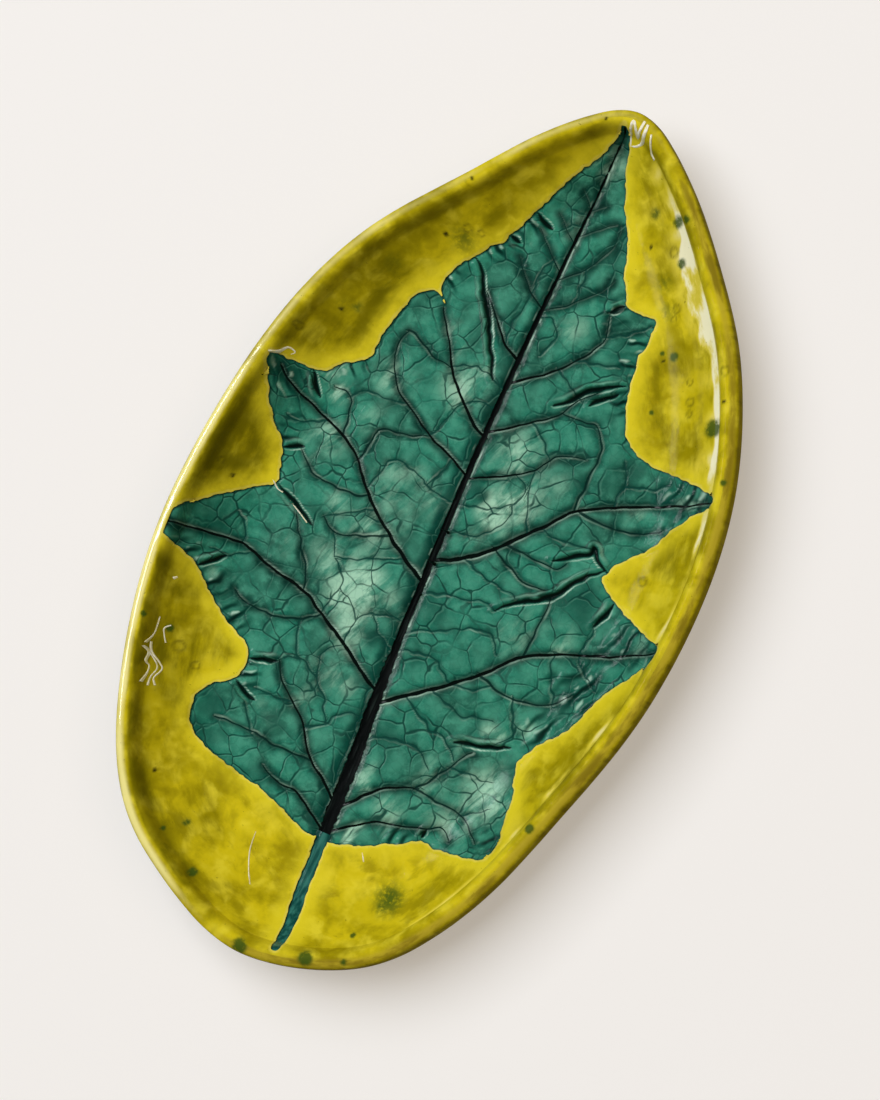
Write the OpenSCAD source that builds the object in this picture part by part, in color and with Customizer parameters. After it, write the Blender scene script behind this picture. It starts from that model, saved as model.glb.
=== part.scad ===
// Oval serving tray: a moulded clay dish with a rolled rim and a foot ring, and a leaf pressed into its well.
// The table is z = 0, the origin is under the middle of the tray, and the tip of the leaf points along +Y.

/* [Tray] */
// Length from the round end to the pointed end
tray_len = 350; // [310:5:390]
// Width across the rim
tray_w = 207; // [187:2:227]
// Height of the lip above the table
tray_h = 32; // [29:1:36]
// Width of the sloping wall, from the outside of the rim to the flat floor
wall_run = 36; // [33:1:38]
// Thickness of the clay slab at the floor
slab_t = 6.4; // [5:0.2:8]

/* [Rim] */
// Width of the rolled rim
rim_w = 8; // [7:0.5:9]
// Height of the lip above the crease inside the rim
lip_h = 5; // [4:0.5:6]

/* [Foot] */
// Height of the foot ring
foot_h = 5; // [3:0.5:7]
// Width of the foot ring where it meets the floor
foot_w = 7; // [5:0.5:9]

/* [Glaze] */
// Thickness of the glaze coats
glaze_t = 0.6; // [0.4:0.1:0.8]

/* [Leaf] */
// Depth of the leaf and stem impressions in the clay
leaf_depth = 0.8; // [0.6:0.1:1.2]
// Depth of the vein grooves below the leaf impression
vein_depth = 0.8; // [0.6:0.1:1.2]
// Width of the leaf stem
stem_w = 4.8; // [3:0.2:6]
// Width of the midrib at its thick end
midrib_w = 5.4; // [4:0.2:6]
// Width of a side vein at the midrib
side_vein_w = 1.8; // [1.4:0.1:2.2]
// Width of a branch vein where it leaves a side vein
branch_vein_w = 1; // [0.8:0.1:1.2]

/* [Hidden] */

clay = [0.78, 0.62, 0.47];
yellow = [0.78, 0.67, 0.08];
leaf_green = [0.10, 0.37, 0.29];
stem_green = [0.08, 0.33, 0.33];
vein_black = [0.05, 0.06, 0.05];

// The outlines below are drawn on a tray of this size, about this middle, and scaled to the one asked for
drawn_w = 207;
drawn_len = 350;
drawn_mid = [0.4, 0];

// Rim, clockwise from the pointed end
rim_points = [
  [7, 175], [33, 160], [61, 130], [82, 100], [98, 60], [104, 18], [101, -30], [88.5, -77], [70.5, -125], [42.5, -160],
  [-4, -175], [-47, -160], [-74, -137], [-92, -98], [-102.5, -47], [-101, 5], [-91.5, 55], [-74, 95], [-46, 130],
  [-19, 160]
];

// Leaf margin, clockwise from the tip
leaf_margin = [
  [4, 169], [7, 162], [8, 154], [12, 143], [18, 132], [22, 121], [26, 112], [29, 107.5], [33, 106.5], [41, 106.5],
  [42, 103], [42, 96], [41, 90], [43, 78], [45, 70], [50, 60.5], [55, 57.5], [62, 55.5], [80, 55], [88, 54], [93, 52],
  [91, 48], [86, 43], [81, 37], [75, 26], [70, 21], [65, 15], [63, 9], [67, 5.5], [73, 2], [87, -3.5], [96, -6],
  [96, -10], [94, -15], [89, -21], [84, -28], [78, -41], [75, -48], [70, -54], [66, -59], [62, -67], [64, -74],
  [67, -80], [68, -88], [70, -95], [69, -101], [66, -104.5], [55, -108], [47, -109], [40, -109], [34, -113],
  [26, -117], [18, -121], [12, -123.5], [4, -124.5], [-6, -124], [-12, -122], [-17, -120], [-32, -116], [-40, -115],
  [-48, -113.5], [-55, -111], [-61, -107.5], [-64.5, -102], [-65.5, -97], [-64, -92], [-60, -87.5], [-54, -83],
  [-52.5, -78], [-53, -72], [-57, -68.5], [-66, -64.5], [-73, -60], [-80, -54], [-85, -49], [-92, -45.5],
  [-100, -42], [-101, -38.5], [-98, -32], [-93, -26], [-87, -20], [-79, -13], [-71.5, -8], [-72, -2], [-74, 6],
  [-80, 13.5], [-84, 20], [-85.5, 24], [-87.5, 28.5], [-89, 37.5], [-83, 38.5], [-72, 39.5], [-65, 45.5], [-57, 51.5],
  [-56.5, 56], [-55, 66], [-52, 76], [-50, 80.5], [-47, 83.5], [-44, 85], [-41, 84], [-38, 82], [-41.5, 86.5],
  [-41.5, 91.5], [-38, 98], [-31, 107.5], [-27, 111], [-23, 118], [-19, 127], [-16, 134], [-10, 145], [-5, 152.5],
  [1, 162]
];

// Stem, from the leaf base to its cut end
stem_path = [[4, -122], [4.5, -134], [5.2, -145], [7.5, -154], [10, -166]];

// Midrib, from the leaf base to the tip
midrib_path = [
  [4, -124], [2.5, -90], [1, -70], [-0.5, -40], [-1.6, 0], [-2.4, 40], [-2, 80], [-0.8, 120], [1, 150], [4, 165]
];

// Side veins, each from the midrib outwards
side_veins = [
  [[5, -121], [14, -114], [29, -107.5], [45, -101]],
  [[5, -110], [17, -98], [29, -92]],
  [[3, -68], [20, -55], [34, -42.5], [46, -30], [66, -20.5], [94, -9]],
  [[0, -10], [19, 3], [28.5, 13], [43, 29], [63, 39.5], [90, 50]],
  [[-2, 23.5], [16, 32.5], [25, 42], [29, 46]],
  [[-2, 43], [13, 53], [21, 59.5], [26, 68], [32, 73]],
  [[-2, 63], [9, 71], [19, 81], [26, 93.5]],
  [[-2, 93.5], [6, 98], [16, 108.5]],
  [[-1, 107], [8, 115], [14, 128]],
  [[0, 125.5], [11, 135]],
  [[4, -123], [-5, -117], [-13, -112.5], [-30, -109]],
  [[2, -110], [-13, -99.3], [-26, -84.5], [-36.5, -76.5], [-41, -70]],
  [[1, -65], [-20, -53.5], [-43, -41.5], [-59, -38.5], [-74, -34.5], [-99, -38.5]],
  [[-1, -20], [-21, -8.5], [-35, 2.5], [-45, 13.5], [-55, 20], [-69, 25.5], [-85, 34]],
  [[-2, 24], [-22, 33], [-37, 41.5], [-47, 53], [-48, 64]],
  [[-2, 41], [-15, 49.5], [-26, 60.5], [-36, 78]],
  [[-2, 72.5], [-16, 83], [-25, 92.5]],
  [[-2, 94], [-14, 103.5], [-19, 111]],
  [[-1, 110], [-10, 118], [-15, 122.5]],
  [[-0.9, 122.5], [-10, 131]]
];

// Branch veins, each from a side vein outwards
branch_veins = [
  [[28.5, -92.5], [38.5, -79.5], [44, -71]],
  [[28.5, -91.8], [50, -94], [60, -100]],
  [[33.5, -43], [50, -46], [65, -41.5], [70, -36]],
  [[46.2, -29.7], [47.5, -20], [48, -6.5]],
  [[42, 28.5], [42.5, 46], [39, 59], [29, 60.5]],
  [[44, 29], [62, 28.5], [76, 34]],
  [[19, 2.5], [34, -3.5], [44, -3]],
  [[23, 6.5], [39, 5.5], [48, 8.5]],
  [[-12.5, -99.5], [-31, -100], [-55, -99.5]],
  [[-33, -47], [-44, -54], [-56, -55], [-69, -52]],
  [[-43, -41], [-46, -34], [-53.5, -23], [-58, -15.5]],
  [[-34.5, 2.5], [-48, 0.5], [-59, 2], [-67, 8]],
  [[-54.5, 20], [-56, 28], [-58, 34.5], [-65, 36]],
  [[-44.5, 13.5], [-43, 19], [-41, 28.5], [-30, 30], [-22, 33]],
  [[-20.5, -8.5], [-32, -13.5], [-41.5, -16]],
  [[-47.5, 64], [-43, 66.5], [-33, 61.5], [-25.5, 60.5]]
];

// Steps of the curves between two drawn points
rim_steps = 3;
leaf_steps = 2;
vein_steps = 2;

// How far up the middle line the wall leans towards the pointed and the round end
spine_lean = 0.55;

// Clear strip between the rim's crease and the leaf impression
leaf_gap = 1.5;

// Narrow ends of the veins, as a share of their width
midrib_end = 0.12;
vein_end = 0.35;

// Steps up the wall, inside and outside
wall_steps = 4;

// How much sooner the outside of the wall meets the floor than the inside does
outer_lead = 2;

// Edge of the slab under the rim: distance from the outside of the rim, and drop below the crease
edge_w = 3;
edge_drop = 3.9;

// Cross-section of the coil, from the crease over the lip to its underside:
// shares of the way across the coil, and of the lip's height above the crease
coil_section = [
  [1, 0], [0.89, 0.38], [0.73, 0.76], [0.46, 1], [0.16, 0.68], [0, 0.08], [0, -0.68], [0.16, -1.12]
];

// Which way the glaze lies from each of those points, in thicknesses of the coat
coil_glaze_side = [
  [0, 1], [1, 0.5], [0.7, 0.8], [0, 1], [-0.7, 0.8], [-1, 0.3], [-1, -0.3], [-0.5, -1]
];

// The glaze is thicker outside, where it ran, and starts this share of the way from the coil to the slab's edge
outer_glaze_t = glaze_t + 0.2;
outer_glaze_start = 2 / 3;

// Sides of the foot ring: lean down to the table, and the nearly upright part next to the floor
foot_lean = 1.4;
foot_top_lean = 0.2;
foot_top_h = 1;

// Space above the tray that the upright cuts reach
cut_room = 8;

// Heights and the foot of the outer wall
floor_z = foot_h + slab_t;
crease_z = tray_h - glaze_t - lip_h;
edge_z = crease_z - edge_drop;
cut_top = tray_h + cut_room;
outer_run = wall_run - outer_lead;

function sized(p) = [(p.x - drawn_mid.x) * tray_w / drawn_w, (p.y - drawn_mid.y) * tray_len / drawn_len];

function bend(a, b, c, d, t) =
  (2 * b + (c - a) * t + (2 * a - 5 * b + 4 * c - d) * t * t + (3 * b - a - 3 * c + d) * t * t * t) / 2;

function closed_curve(p, steps) = let (n = len(p)) [
  for (i = [0 : n - 1]) for (k = [0 : steps - 1])
    bend(p[(i + n - 1) % n], p[i], p[(i + 1) % n], p[(i + 2) % n], k / steps)
];

function open_curve(p, steps) = let (last = len(p) - 1) [
  for (i = [0 : last - 1]) for (k = [0 : steps - (i == last - 1 ? 0 : 1)])
    bend(p[max(i - 1, 0)], p[i], p[i + 1], p[min(i + 2, last)], k / steps)
];

// Outline of a strip along a path, from one width to another
function strip(path, start_w, end_w) = let (
  c = open_curve([for (p = path) sized(p)], vein_steps),
  last = len(c) - 1,
  side = [for (i = [0 : last])
    let (d = c[min(i + 1, last)] - c[max(i - 1, 0)], half = (start_w + (end_w - start_w) * i / last) / 2)
    [-d.y, d.x] / norm(d) * half]
) concat([for (i = [0 : last]) c[i] + side[i]], [for (i = [last : -1 : 0]) c[i] - side[i]]);

rim = [for (p = closed_curve(rim_points, rim_steps)) sized(p)];
stations = len(rim);
inward = [for (p = rim) let (d = [-p.x, (spine_lean - 1) * p.y]) d / norm(d)];

// Top of the clay inside the tray, at a distance inwards from the outside of the rim
function well_z(w) = floor_z + (crease_z - floor_z) * pow((wall_run - w) / (wall_run - rim_w), 2);

// Outside of the clay wall, at the same kind of distance
function outer_z(w) = foot_h + (edge_z - foot_h) * pow((outer_run - w) / (outer_run - edge_w), 2);

function even_steps(from, to, count) = [for (k = [0 : count]) from + (to - from) * k / count];

well_steps = even_steps(wall_run, rim_w, wall_steps);
leaf_wall_steps = concat([for (k = [0 : wall_steps - 1]) well_steps[k]], [rim_w + leaf_gap]);
outer_steps = even_steps(edge_w, outer_run, wall_steps);

// Profiles are lists of [distance inwards, height]
function well_line(steps, dz) = [for (w = steps) [w, well_z(w) + dz]];
function backwards(list) = [for (i = [len(list) - 1 : -1 : 0]) list[i]];

coil_line = [for (q = coil_section) [glaze_t + q[0] * (rim_w - glaze_t), crease_z + q[1] * lip_h]];
coil_glaze_line = [for (k = [0 : len(coil_line) - 1]) coil_line[k] + glaze_t * coil_glaze_side[k]];
coil_end = coil_line[len(coil_line) - 1];
slab_edge = [edge_w, edge_z];

outer_line = [for (w = outer_steps) [w, outer_z(w)]];
outer_glaze_line = concat(
  [coil_end + (slab_edge - coil_end) * outer_glaze_start],
  [for (k = [1 : wall_steps]) outer_line[k] - [0, outer_glaze_t]]
);

function rings(profile) = [
  for (q = profile) for (i = [0 : stations - 1])
    [rim[i].x + q[0] * inward[i].x, rim[i].y + q[0] * inward[i].y, q[1]]
];

function band(a, b) = [
  for (i = [0 : stations - 1]) let (j = (i + 1) % stations)
    for (f = [[a + i, b + i, b + j], [a + i, b + j, a + j]]) f
];

// A closed ring with the given cross-section, listed from the inside over the top
module ring(profile) {
  m = len(profile);
  polyhedron(
    rings(profile),
    [for (k = [0 : m - 1]) for (f = band(k * stations, ((k + 1) % m) * stations)) f]
  );
}

// A closed dish: the profile runs from the middle above, over the edge, to the middle below
module dish(profile) {
  m = len(profile);
  top = m * stations;
  bottom = top + 1;
  last = (m - 1) * stations;
  polyhedron(
    concat(rings(profile), [[0, 0, profile[0][1]], [0, 0, profile[m - 1][1]]]),
    concat(
      [for (i = [0 : stations - 1]) [top, i, (i + 1) % stations]],
      [for (k = [0 : m - 2]) for (f = band(k * stations, (k + 1) * stations)) f],
      [for (i = [0 : stations - 1]) [bottom, last + (i + 1) % stations, last + i]]
    )
  );
}

// A thin coat that follows the well, between two offsets from the clay
module coat(steps, upper, lower) {
  dish(concat(well_line(steps, upper), backwards(well_line(steps, lower))));
}

// All the space above the well, down to an offset from the clay
module space_above(offset_z) {
  dish(concat([[leaf_wall_steps[wall_steps], cut_top]], backwards(well_line(leaf_wall_steps, offset_z))));
}

module leaf_shape() {
  polygon(closed_curve([for (p = leaf_margin) sized(p)], leaf_steps));
}

module stem_shape() {
  difference() {
    polygon(strip(stem_path, stem_w, stem_w));
    leaf_shape();
  }
}

module midrib_shape() {
  polygon(strip(midrib_path, midrib_w, midrib_w * midrib_end));
}

module side_vein_shape() {
  for (path = side_veins) polygon(strip(path, side_vein_w, side_vein_w * vein_end));
}

module branch_vein_shape() {
  for (path = branch_veins) polygon(strip(path, branch_vein_w, branch_vein_w * vein_end));
}

module upright() {
  linear_extrude(cut_top) children();
}

module slab_body() {
  color(clay)
  difference() {
    dish(concat(well_line(well_steps, 0), outer_line));
    intersection() {
      upright() union() {
        leaf_shape();
        stem_shape();
      }
      space_above(-leaf_depth);
    }
    intersection() {
      upright() intersection() {
        leaf_shape();
        union() {
          midrib_shape();
          side_vein_shape();
          branch_vein_shape();
        }
      }
      space_above(-leaf_depth - vein_depth);
    }
  }
}

module rim_coil() {
  color(clay)
  ring(concat(coil_line, [slab_edge]));
}

module foot_ring() {
  outside = outer_run;
  inside = outer_run + foot_w;
  color(clay)
  ring([
    [inside, foot_h], [outside, foot_h], [outside + foot_top_lean, foot_h - foot_top_h],
    [outside + foot_lean, 0], [inside - foot_lean, 0], [inside - foot_top_lean, foot_h - foot_top_h]
  ]);
}

module well_glaze() {
  color(yellow)
  difference() {
    coat(well_steps, glaze_t, 0);
    upright() union() {
      leaf_shape();
      stem_shape();
    }
  }
}

module rim_glaze() {
  color(yellow)
  ring(concat(coil_glaze_line, backwards(coil_line)));
}

module outer_glaze() {
  color(yellow)
  ring(concat(backwards(outer_line), outer_glaze_line));
}

module leaf_glaze() {
  color(leaf_green)
  intersection() {
    upright() difference() {
      leaf_shape();
      midrib_shape();
      side_vein_shape();
      branch_vein_shape();
    }
    coat(leaf_wall_steps, glaze_t - leaf_depth, -leaf_depth);
  }
}

module stem_glaze() {
  color(stem_green)
  intersection() {
    upright() stem_shape();
    coat(leaf_wall_steps, glaze_t - leaf_depth, -leaf_depth);
  }
}

module vein_coat() {
  coat(leaf_wall_steps, glaze_t - leaf_depth - vein_depth, -leaf_depth - vein_depth);
}

module midrib_inlay() {
  color(vein_black)
  intersection() {
    upright() intersection() {
      leaf_shape();
      midrib_shape();
    }
    vein_coat();
  }
}

module side_vein_inlays() {
  color(vein_black)
  intersection() {
    upright() difference() {
      intersection() {
        leaf_shape();
        side_vein_shape();
      }
      midrib_shape();
    }
    vein_coat();
  }
}

module branch_vein_inlays() {
  color(vein_black)
  intersection() {
    upright() difference() {
      branch_vein_shape();
      side_vein_shape();
      midrib_shape();
    }
    vein_coat();
  }
}

slab_body();
rim_coil();
foot_ring();
well_glaze();
rim_glaze();
outer_glaze();
leaf_glaze();
stem_glaze();
midrib_inlay();
side_vein_inlays();
branch_vein_inlays();
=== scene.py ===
import math

import bpy
import numpy as np
from mathutils import Matrix, Vector, kdtree, noise


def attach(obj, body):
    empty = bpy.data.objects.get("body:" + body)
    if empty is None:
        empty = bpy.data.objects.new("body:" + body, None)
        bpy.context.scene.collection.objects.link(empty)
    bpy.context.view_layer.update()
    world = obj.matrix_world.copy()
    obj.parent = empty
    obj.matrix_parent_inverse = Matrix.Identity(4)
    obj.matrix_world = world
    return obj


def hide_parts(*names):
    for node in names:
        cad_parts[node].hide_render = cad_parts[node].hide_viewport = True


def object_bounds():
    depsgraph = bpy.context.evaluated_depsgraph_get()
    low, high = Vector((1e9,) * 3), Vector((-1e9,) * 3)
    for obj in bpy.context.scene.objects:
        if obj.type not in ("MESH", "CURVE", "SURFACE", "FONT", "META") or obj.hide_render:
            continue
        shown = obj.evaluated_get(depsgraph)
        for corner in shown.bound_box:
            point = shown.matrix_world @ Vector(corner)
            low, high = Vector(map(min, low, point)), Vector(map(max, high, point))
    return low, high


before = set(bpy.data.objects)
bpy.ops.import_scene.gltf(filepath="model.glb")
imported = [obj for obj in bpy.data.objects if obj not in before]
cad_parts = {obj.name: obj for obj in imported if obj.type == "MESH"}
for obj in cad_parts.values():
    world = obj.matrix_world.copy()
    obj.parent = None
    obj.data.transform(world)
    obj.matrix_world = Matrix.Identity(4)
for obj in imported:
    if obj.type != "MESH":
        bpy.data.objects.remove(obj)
cad_low, cad_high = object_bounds()

# Sizes in millimetres, as on the clay: the table is z = 0 and the leaf's tip points along +Y
MM = 0.001
LIP_TOP = cad_high.z / MM
LIP_W = 4.0            # from the outside of the rim to the top of the lip
FLOOR_Z = 12.0         # yellow glaze on the flat floor
WALL_RUN = 36.0        # from the outside of the rim to the flat floor
WALL_RISE = 15.0
CREASE_W = 8.0         # from the outside of the rim to the slab's edge
EDGE_W = 8.5           # from the outside of the rim to the crease where the wall meets the lip
SPINE_LEAN = 0.55      # how far up the middle line the wall leans towards the ends
OUTLINE_SHIFT = 0.4    # the lines below are drawn this far to the right of the frame's middle
LEAF_DROP = 0.85       # the leaf lies this far below the yellow glaze
COAT = 0.5             # thickness of the glaze coats
UNDER_MARGIN = 0.8     # the leaf goes this far in under the yellow glaze
LEAF_STEP = 0.58       # spacing of the leaf's mesh
WELL_STATIONS = 900    # columns of the well's mesh round the tray
RIM_STATIONS = 800     # columns of the rim's mesh round the tray
FOOT_STATIONS = 240    # columns of the foot's mesh round the tray
RING_REACH = 140.0     # reach of the ring that the glaze's streaks are drawn on
SEAM = 0.01            # vertices closer than this are joined where a sheet meets itself
FAR = 40.0             # a gap that is too wide to matter
NET_CELL = 10.0        # cells of the net of small veins
SMALL_NET_CELL = 3.4   # cells of the net inside those
GLASS = 1.5            # how strongly the glaze bends light

# Glaze on the outside of the wall: its lower edge, its rise, and where it ends and how far it runs
OUTSIDE_LOW = 4.2
OUTSIDE_RISE = 17.5
OUTSIDE_END = 34.0
OUTSIDE_RUN = 31.0

# Clay under the tray, from its middle over the foot ring and back: distance inwards and height
FOOT_PROFILE = [
    (64, 5.0), (56, 5.0), (48, 5.0), (42.4, 5.0), (41.3, 4.7), (40.9, 4.0), (40.4, 2.0), (39.9, 0.5),
    (39.2, 0.0), (37.5, 0.0), (35.9, 0.0), (35.2, 0.5), (34.7, 2.0), (34.2, 4.0), (34.0, 5.2), (33.0, 6.2),
    (36.0, 8.0), (44.0, 8.5), (64, 8.5),
]

# Leaf margin, clockwise from the tip
LEAF_MARGIN = [
    (4, 169), (7, 162), (8, 154), (12, 143), (18, 132), (22, 121), (26, 112), (29, 107.5), (33, 106.5),
    (41, 106.5), (42, 103), (42, 96), (41, 90), (43, 78), (45, 70), (50, 60.5), (55, 57.5), (62, 55.5),
    (80, 55), (88, 54), (93, 52), (91, 48), (86, 43), (81, 37), (75, 26), (70, 21), (65, 15), (63, 9),
    (67, 5.5), (73, 2), (87, -3.5), (96, -6), (96, -10), (94, -15), (89, -21), (84, -28), (78, -41),
    (75, -48), (70, -54), (66, -59), (62, -67), (64, -74), (67, -80), (68, -88), (70, -95), (69, -101),
    (66, -104.5), (55, -108), (47, -109), (40, -109), (34, -113), (26, -117), (18, -121), (12, -123.5),
    (4, -124.5), (-6, -124), (-12, -122), (-17, -120), (-32, -116), (-40, -115), (-48, -113.5), (-55, -111),
    (-61, -107.5), (-64.5, -102), (-65.5, -97), (-64, -92), (-60, -87.5), (-54, -83), (-52.5, -78),
    (-53, -72), (-57, -68.5), (-66, -64.5), (-73, -60), (-80, -54), (-85, -49), (-92, -45.5), (-100, -42),
    (-101, -38.5), (-98, -32), (-93, -26), (-87, -20), (-79, -13), (-71.5, -8), (-72, -2), (-74, 6),
    (-80, 13.5), (-84, 20), (-85.5, 24), (-87.5, 28.5), (-89, 37.5), (-83, 38.5), (-72, 39.5), (-65, 45.5),
    (-57, 51.5), (-56.5, 56), (-55, 66), (-52, 76), (-50, 80.5), (-47, 83.5), (-44, 85), (-41, 84),
    (-38, 82), (-41.5, 86.5), (-41.5, 91.5), (-38, 98), (-31, 107.5), (-27, 111), (-23, 118), (-19, 127),
    (-16, 134), (-10, 145), (-5, 152.5), (1, 162),
]

# Stem and midrib: place along the leaf and width
STEM = [(4, -122, 4.8), (4.5, -134, 4.9), (5.2, -145, 4.9), (7.5, -154, 4.8), (10, -166, 3.6)]
MIDRIB = [
    (4, -124, 4.6), (3.3, -110, 5.5), (2.5, -90, 5.3), (1, -70, 4.6), (-0.5, -40, 3), (-1.6, 0, 2.7),
    (-2.4, 40, 2.3), (-2, 80, 2), (-0.8, 120, 1.3), (1, 150, 0.8), (4, 165, 0.5),
]

# Side veins, each from the midrib outwards
SIDE_VEINS = [
    [(5, -121), (13.5, -114.5), (19.5, -110.5), (29.5, -107.5), (39.5, -104), (45, -101), (50, -104)],
    [(5, -111), (11.5, -103.5), (17, -98), (23.5, -94.5), (29.5, -92)],
    [(3, -68), (11.5, -61.5), (20, -55), (34.5, -42.5), (46, -30.5), (57, -24.5), (66.5, -20.5),
     (80, -15.5), (95, -8.5)],
    [(0, -10), (10.5, -4.5), (19.5, 3), (28.5, 13), (35, 20), (41.5, 27.5), (54.5, 35), (71.5, 42.5),
     (91.5, 50.5)],
    [(-2, 23.5), (10.5, 29.5), (16, 32.5), (21.5, 36.5), (25, 42), (28.5, 45.5), (38, 48)],
    [(-2, 43), (4.5, 47), (13, 53), (20, 58), (23.5, 63), (26.5, 68), (32, 73)],
    [(-2, 63), (9, 71), (14, 75.5), (18.5, 80.5), (23.5, 87), (26, 93.5), (24, 101)],
    [(-2, 93.5), (5.5, 98), (9.5, 102), (16.5, 108.5), (19.5, 114.5)],
    [(-1, 107), (4.5, 111.5), (8, 115), (12, 121.5), (14.5, 128), (13.5, 134.5)],
    [(0, 125.5), (5.5, 130), (11.5, 135)],
    [(0.5, 136.5), (5, 139.5)],
    [(3, -122), (-5, -117), (-13, -112.5), (-20.5, -112.5), (-29.5, -109)],
    [(2, -110), (-5, -104), (-13, -99.5), (-20.5, -89.5), (-25.5, -84.5), (-36.5, -76.5), (-40.5, -70)],
    [(1, -65), (-6.5, -62), (-20, -53.5), (-33.5, -46.5), (-43, -41.5), (-59.5, -38.5), (-73.5, -34.5),
     (-90, -36.5), (-99.5, -38.5)],
    [(-1, -19.5), (-10, -15), (-20.5, -8.5), (-35, 2.5), (-45, 13.5), (-55, 20), (-69.5, 25.5),
     (-80.5, 30.5), (-85, 34.5)],
    [(-2, 24), (-10, 28), (-22, 33), (-37, 41.5), (-43, 46.5), (-48, 55), (-49, 62), (-47, 67)],
    [(-2, 41), (-8.5, 43.5), (-15, 49.5), (-25.5, 60.5), (-30, 68.5), (-34.5, 74.5), (-38, 80)],
    [(-2, 72.5), (-9.5, 76.5), (-15.5, 83), (-24.5, 92)],
    [(-2, 94.5), (-8, 98.5), (-13.5, 103.5), (-18, 109.5)],
    [(-1, 110), (-5.5, 113.5), (-14.5, 122)],
    [(-0.5, 122), (-5, 125.5), (-10, 130.5)],
    [(0, 136.5), (-5, 142)],
]

# How wide each of them is at the midrib
SIDE_WIDTHS = [
    0.9, 1.3, 1.5, 1.5, 0.85, 0.85, 0.9, 0.5, 0.45, 0.4, 0.35,
    1.0, 1.1, 1.5, 1.5, 0.9, 1.2, 1.0, 0.6, 0.5, 0.4, 0.35,
]

# Branch veins, each from a side vein outwards
BRANCH_VEINS = [
    [(29.5, -92), (34.5, -85.5), (38.5, -79.5), (40.5, -75), (44.5, -71)],
    [(29.5, -92), (40.5, -93), (50, -94), (54.5, -96), (60, -100)],
    [(34.5, -42.5), (40.5, -44.5), (50, -46), (59.5, -44), (65, -41.5), (70, -35.5)],
    [(46.5, -29.5), (47.5, -20), (48.5, -10.5), (48, -6.5)],
    [(42, 28.5), (42, 38), (42.5, 46.5), (42, 54.5), (38.5, 59.5), (35.5, 61.5), (29.5, 60.5), (22.5, 61)],
    [(44, 29), (52, 28), (62, 28.5), (69.5, 30.5), (76.5, 34.5)],
    [(19.5, 3), (27, -0.5), (33.5, -3.5), (39.5, -4), (44.5, -3)],
    [(23.5, 6.5), (30.5, 6), (39.5, 5.5), (45, 5.5), (48, 8.5)],
    [(-13, -99.5), (-21.5, -100), (-30.5, -100), (-39.5, -99), (-55, -99.5)],
    [(-33.5, -47), (-39.5, -51.5), (-50, -55), (-55.5, -55), (-63.5, -54.5), (-69.5, -52)],
    [(-43.5, -41), (-45.5, -34), (-50, -28), (-53.5, -23), (-56.5, -18.5), (-58, -15.5)],
    [(-35, 2.5), (-40.5, 0.5), (-48, 0.5), (-54.5, 0.5), (-59.5, 2), (-63.5, 5), (-67, 8)],
    [(-54.5, 20), (-55.5, 28), (-58, 34.5), (-65, 36)],
    [(-45, 13.5), (-43, 19.5), (-42, 26.5), (-41, 28), (-30, 30), (-22, 33)],
    [(-20.5, -8.5), (-32, -13.5), (-41.5, -16), (-48, -12)],
    [(-47, 67), (-43, 66.5), (-38, 63.5), (-33, 61.5), (-25.5, 60.5)],
]

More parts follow.
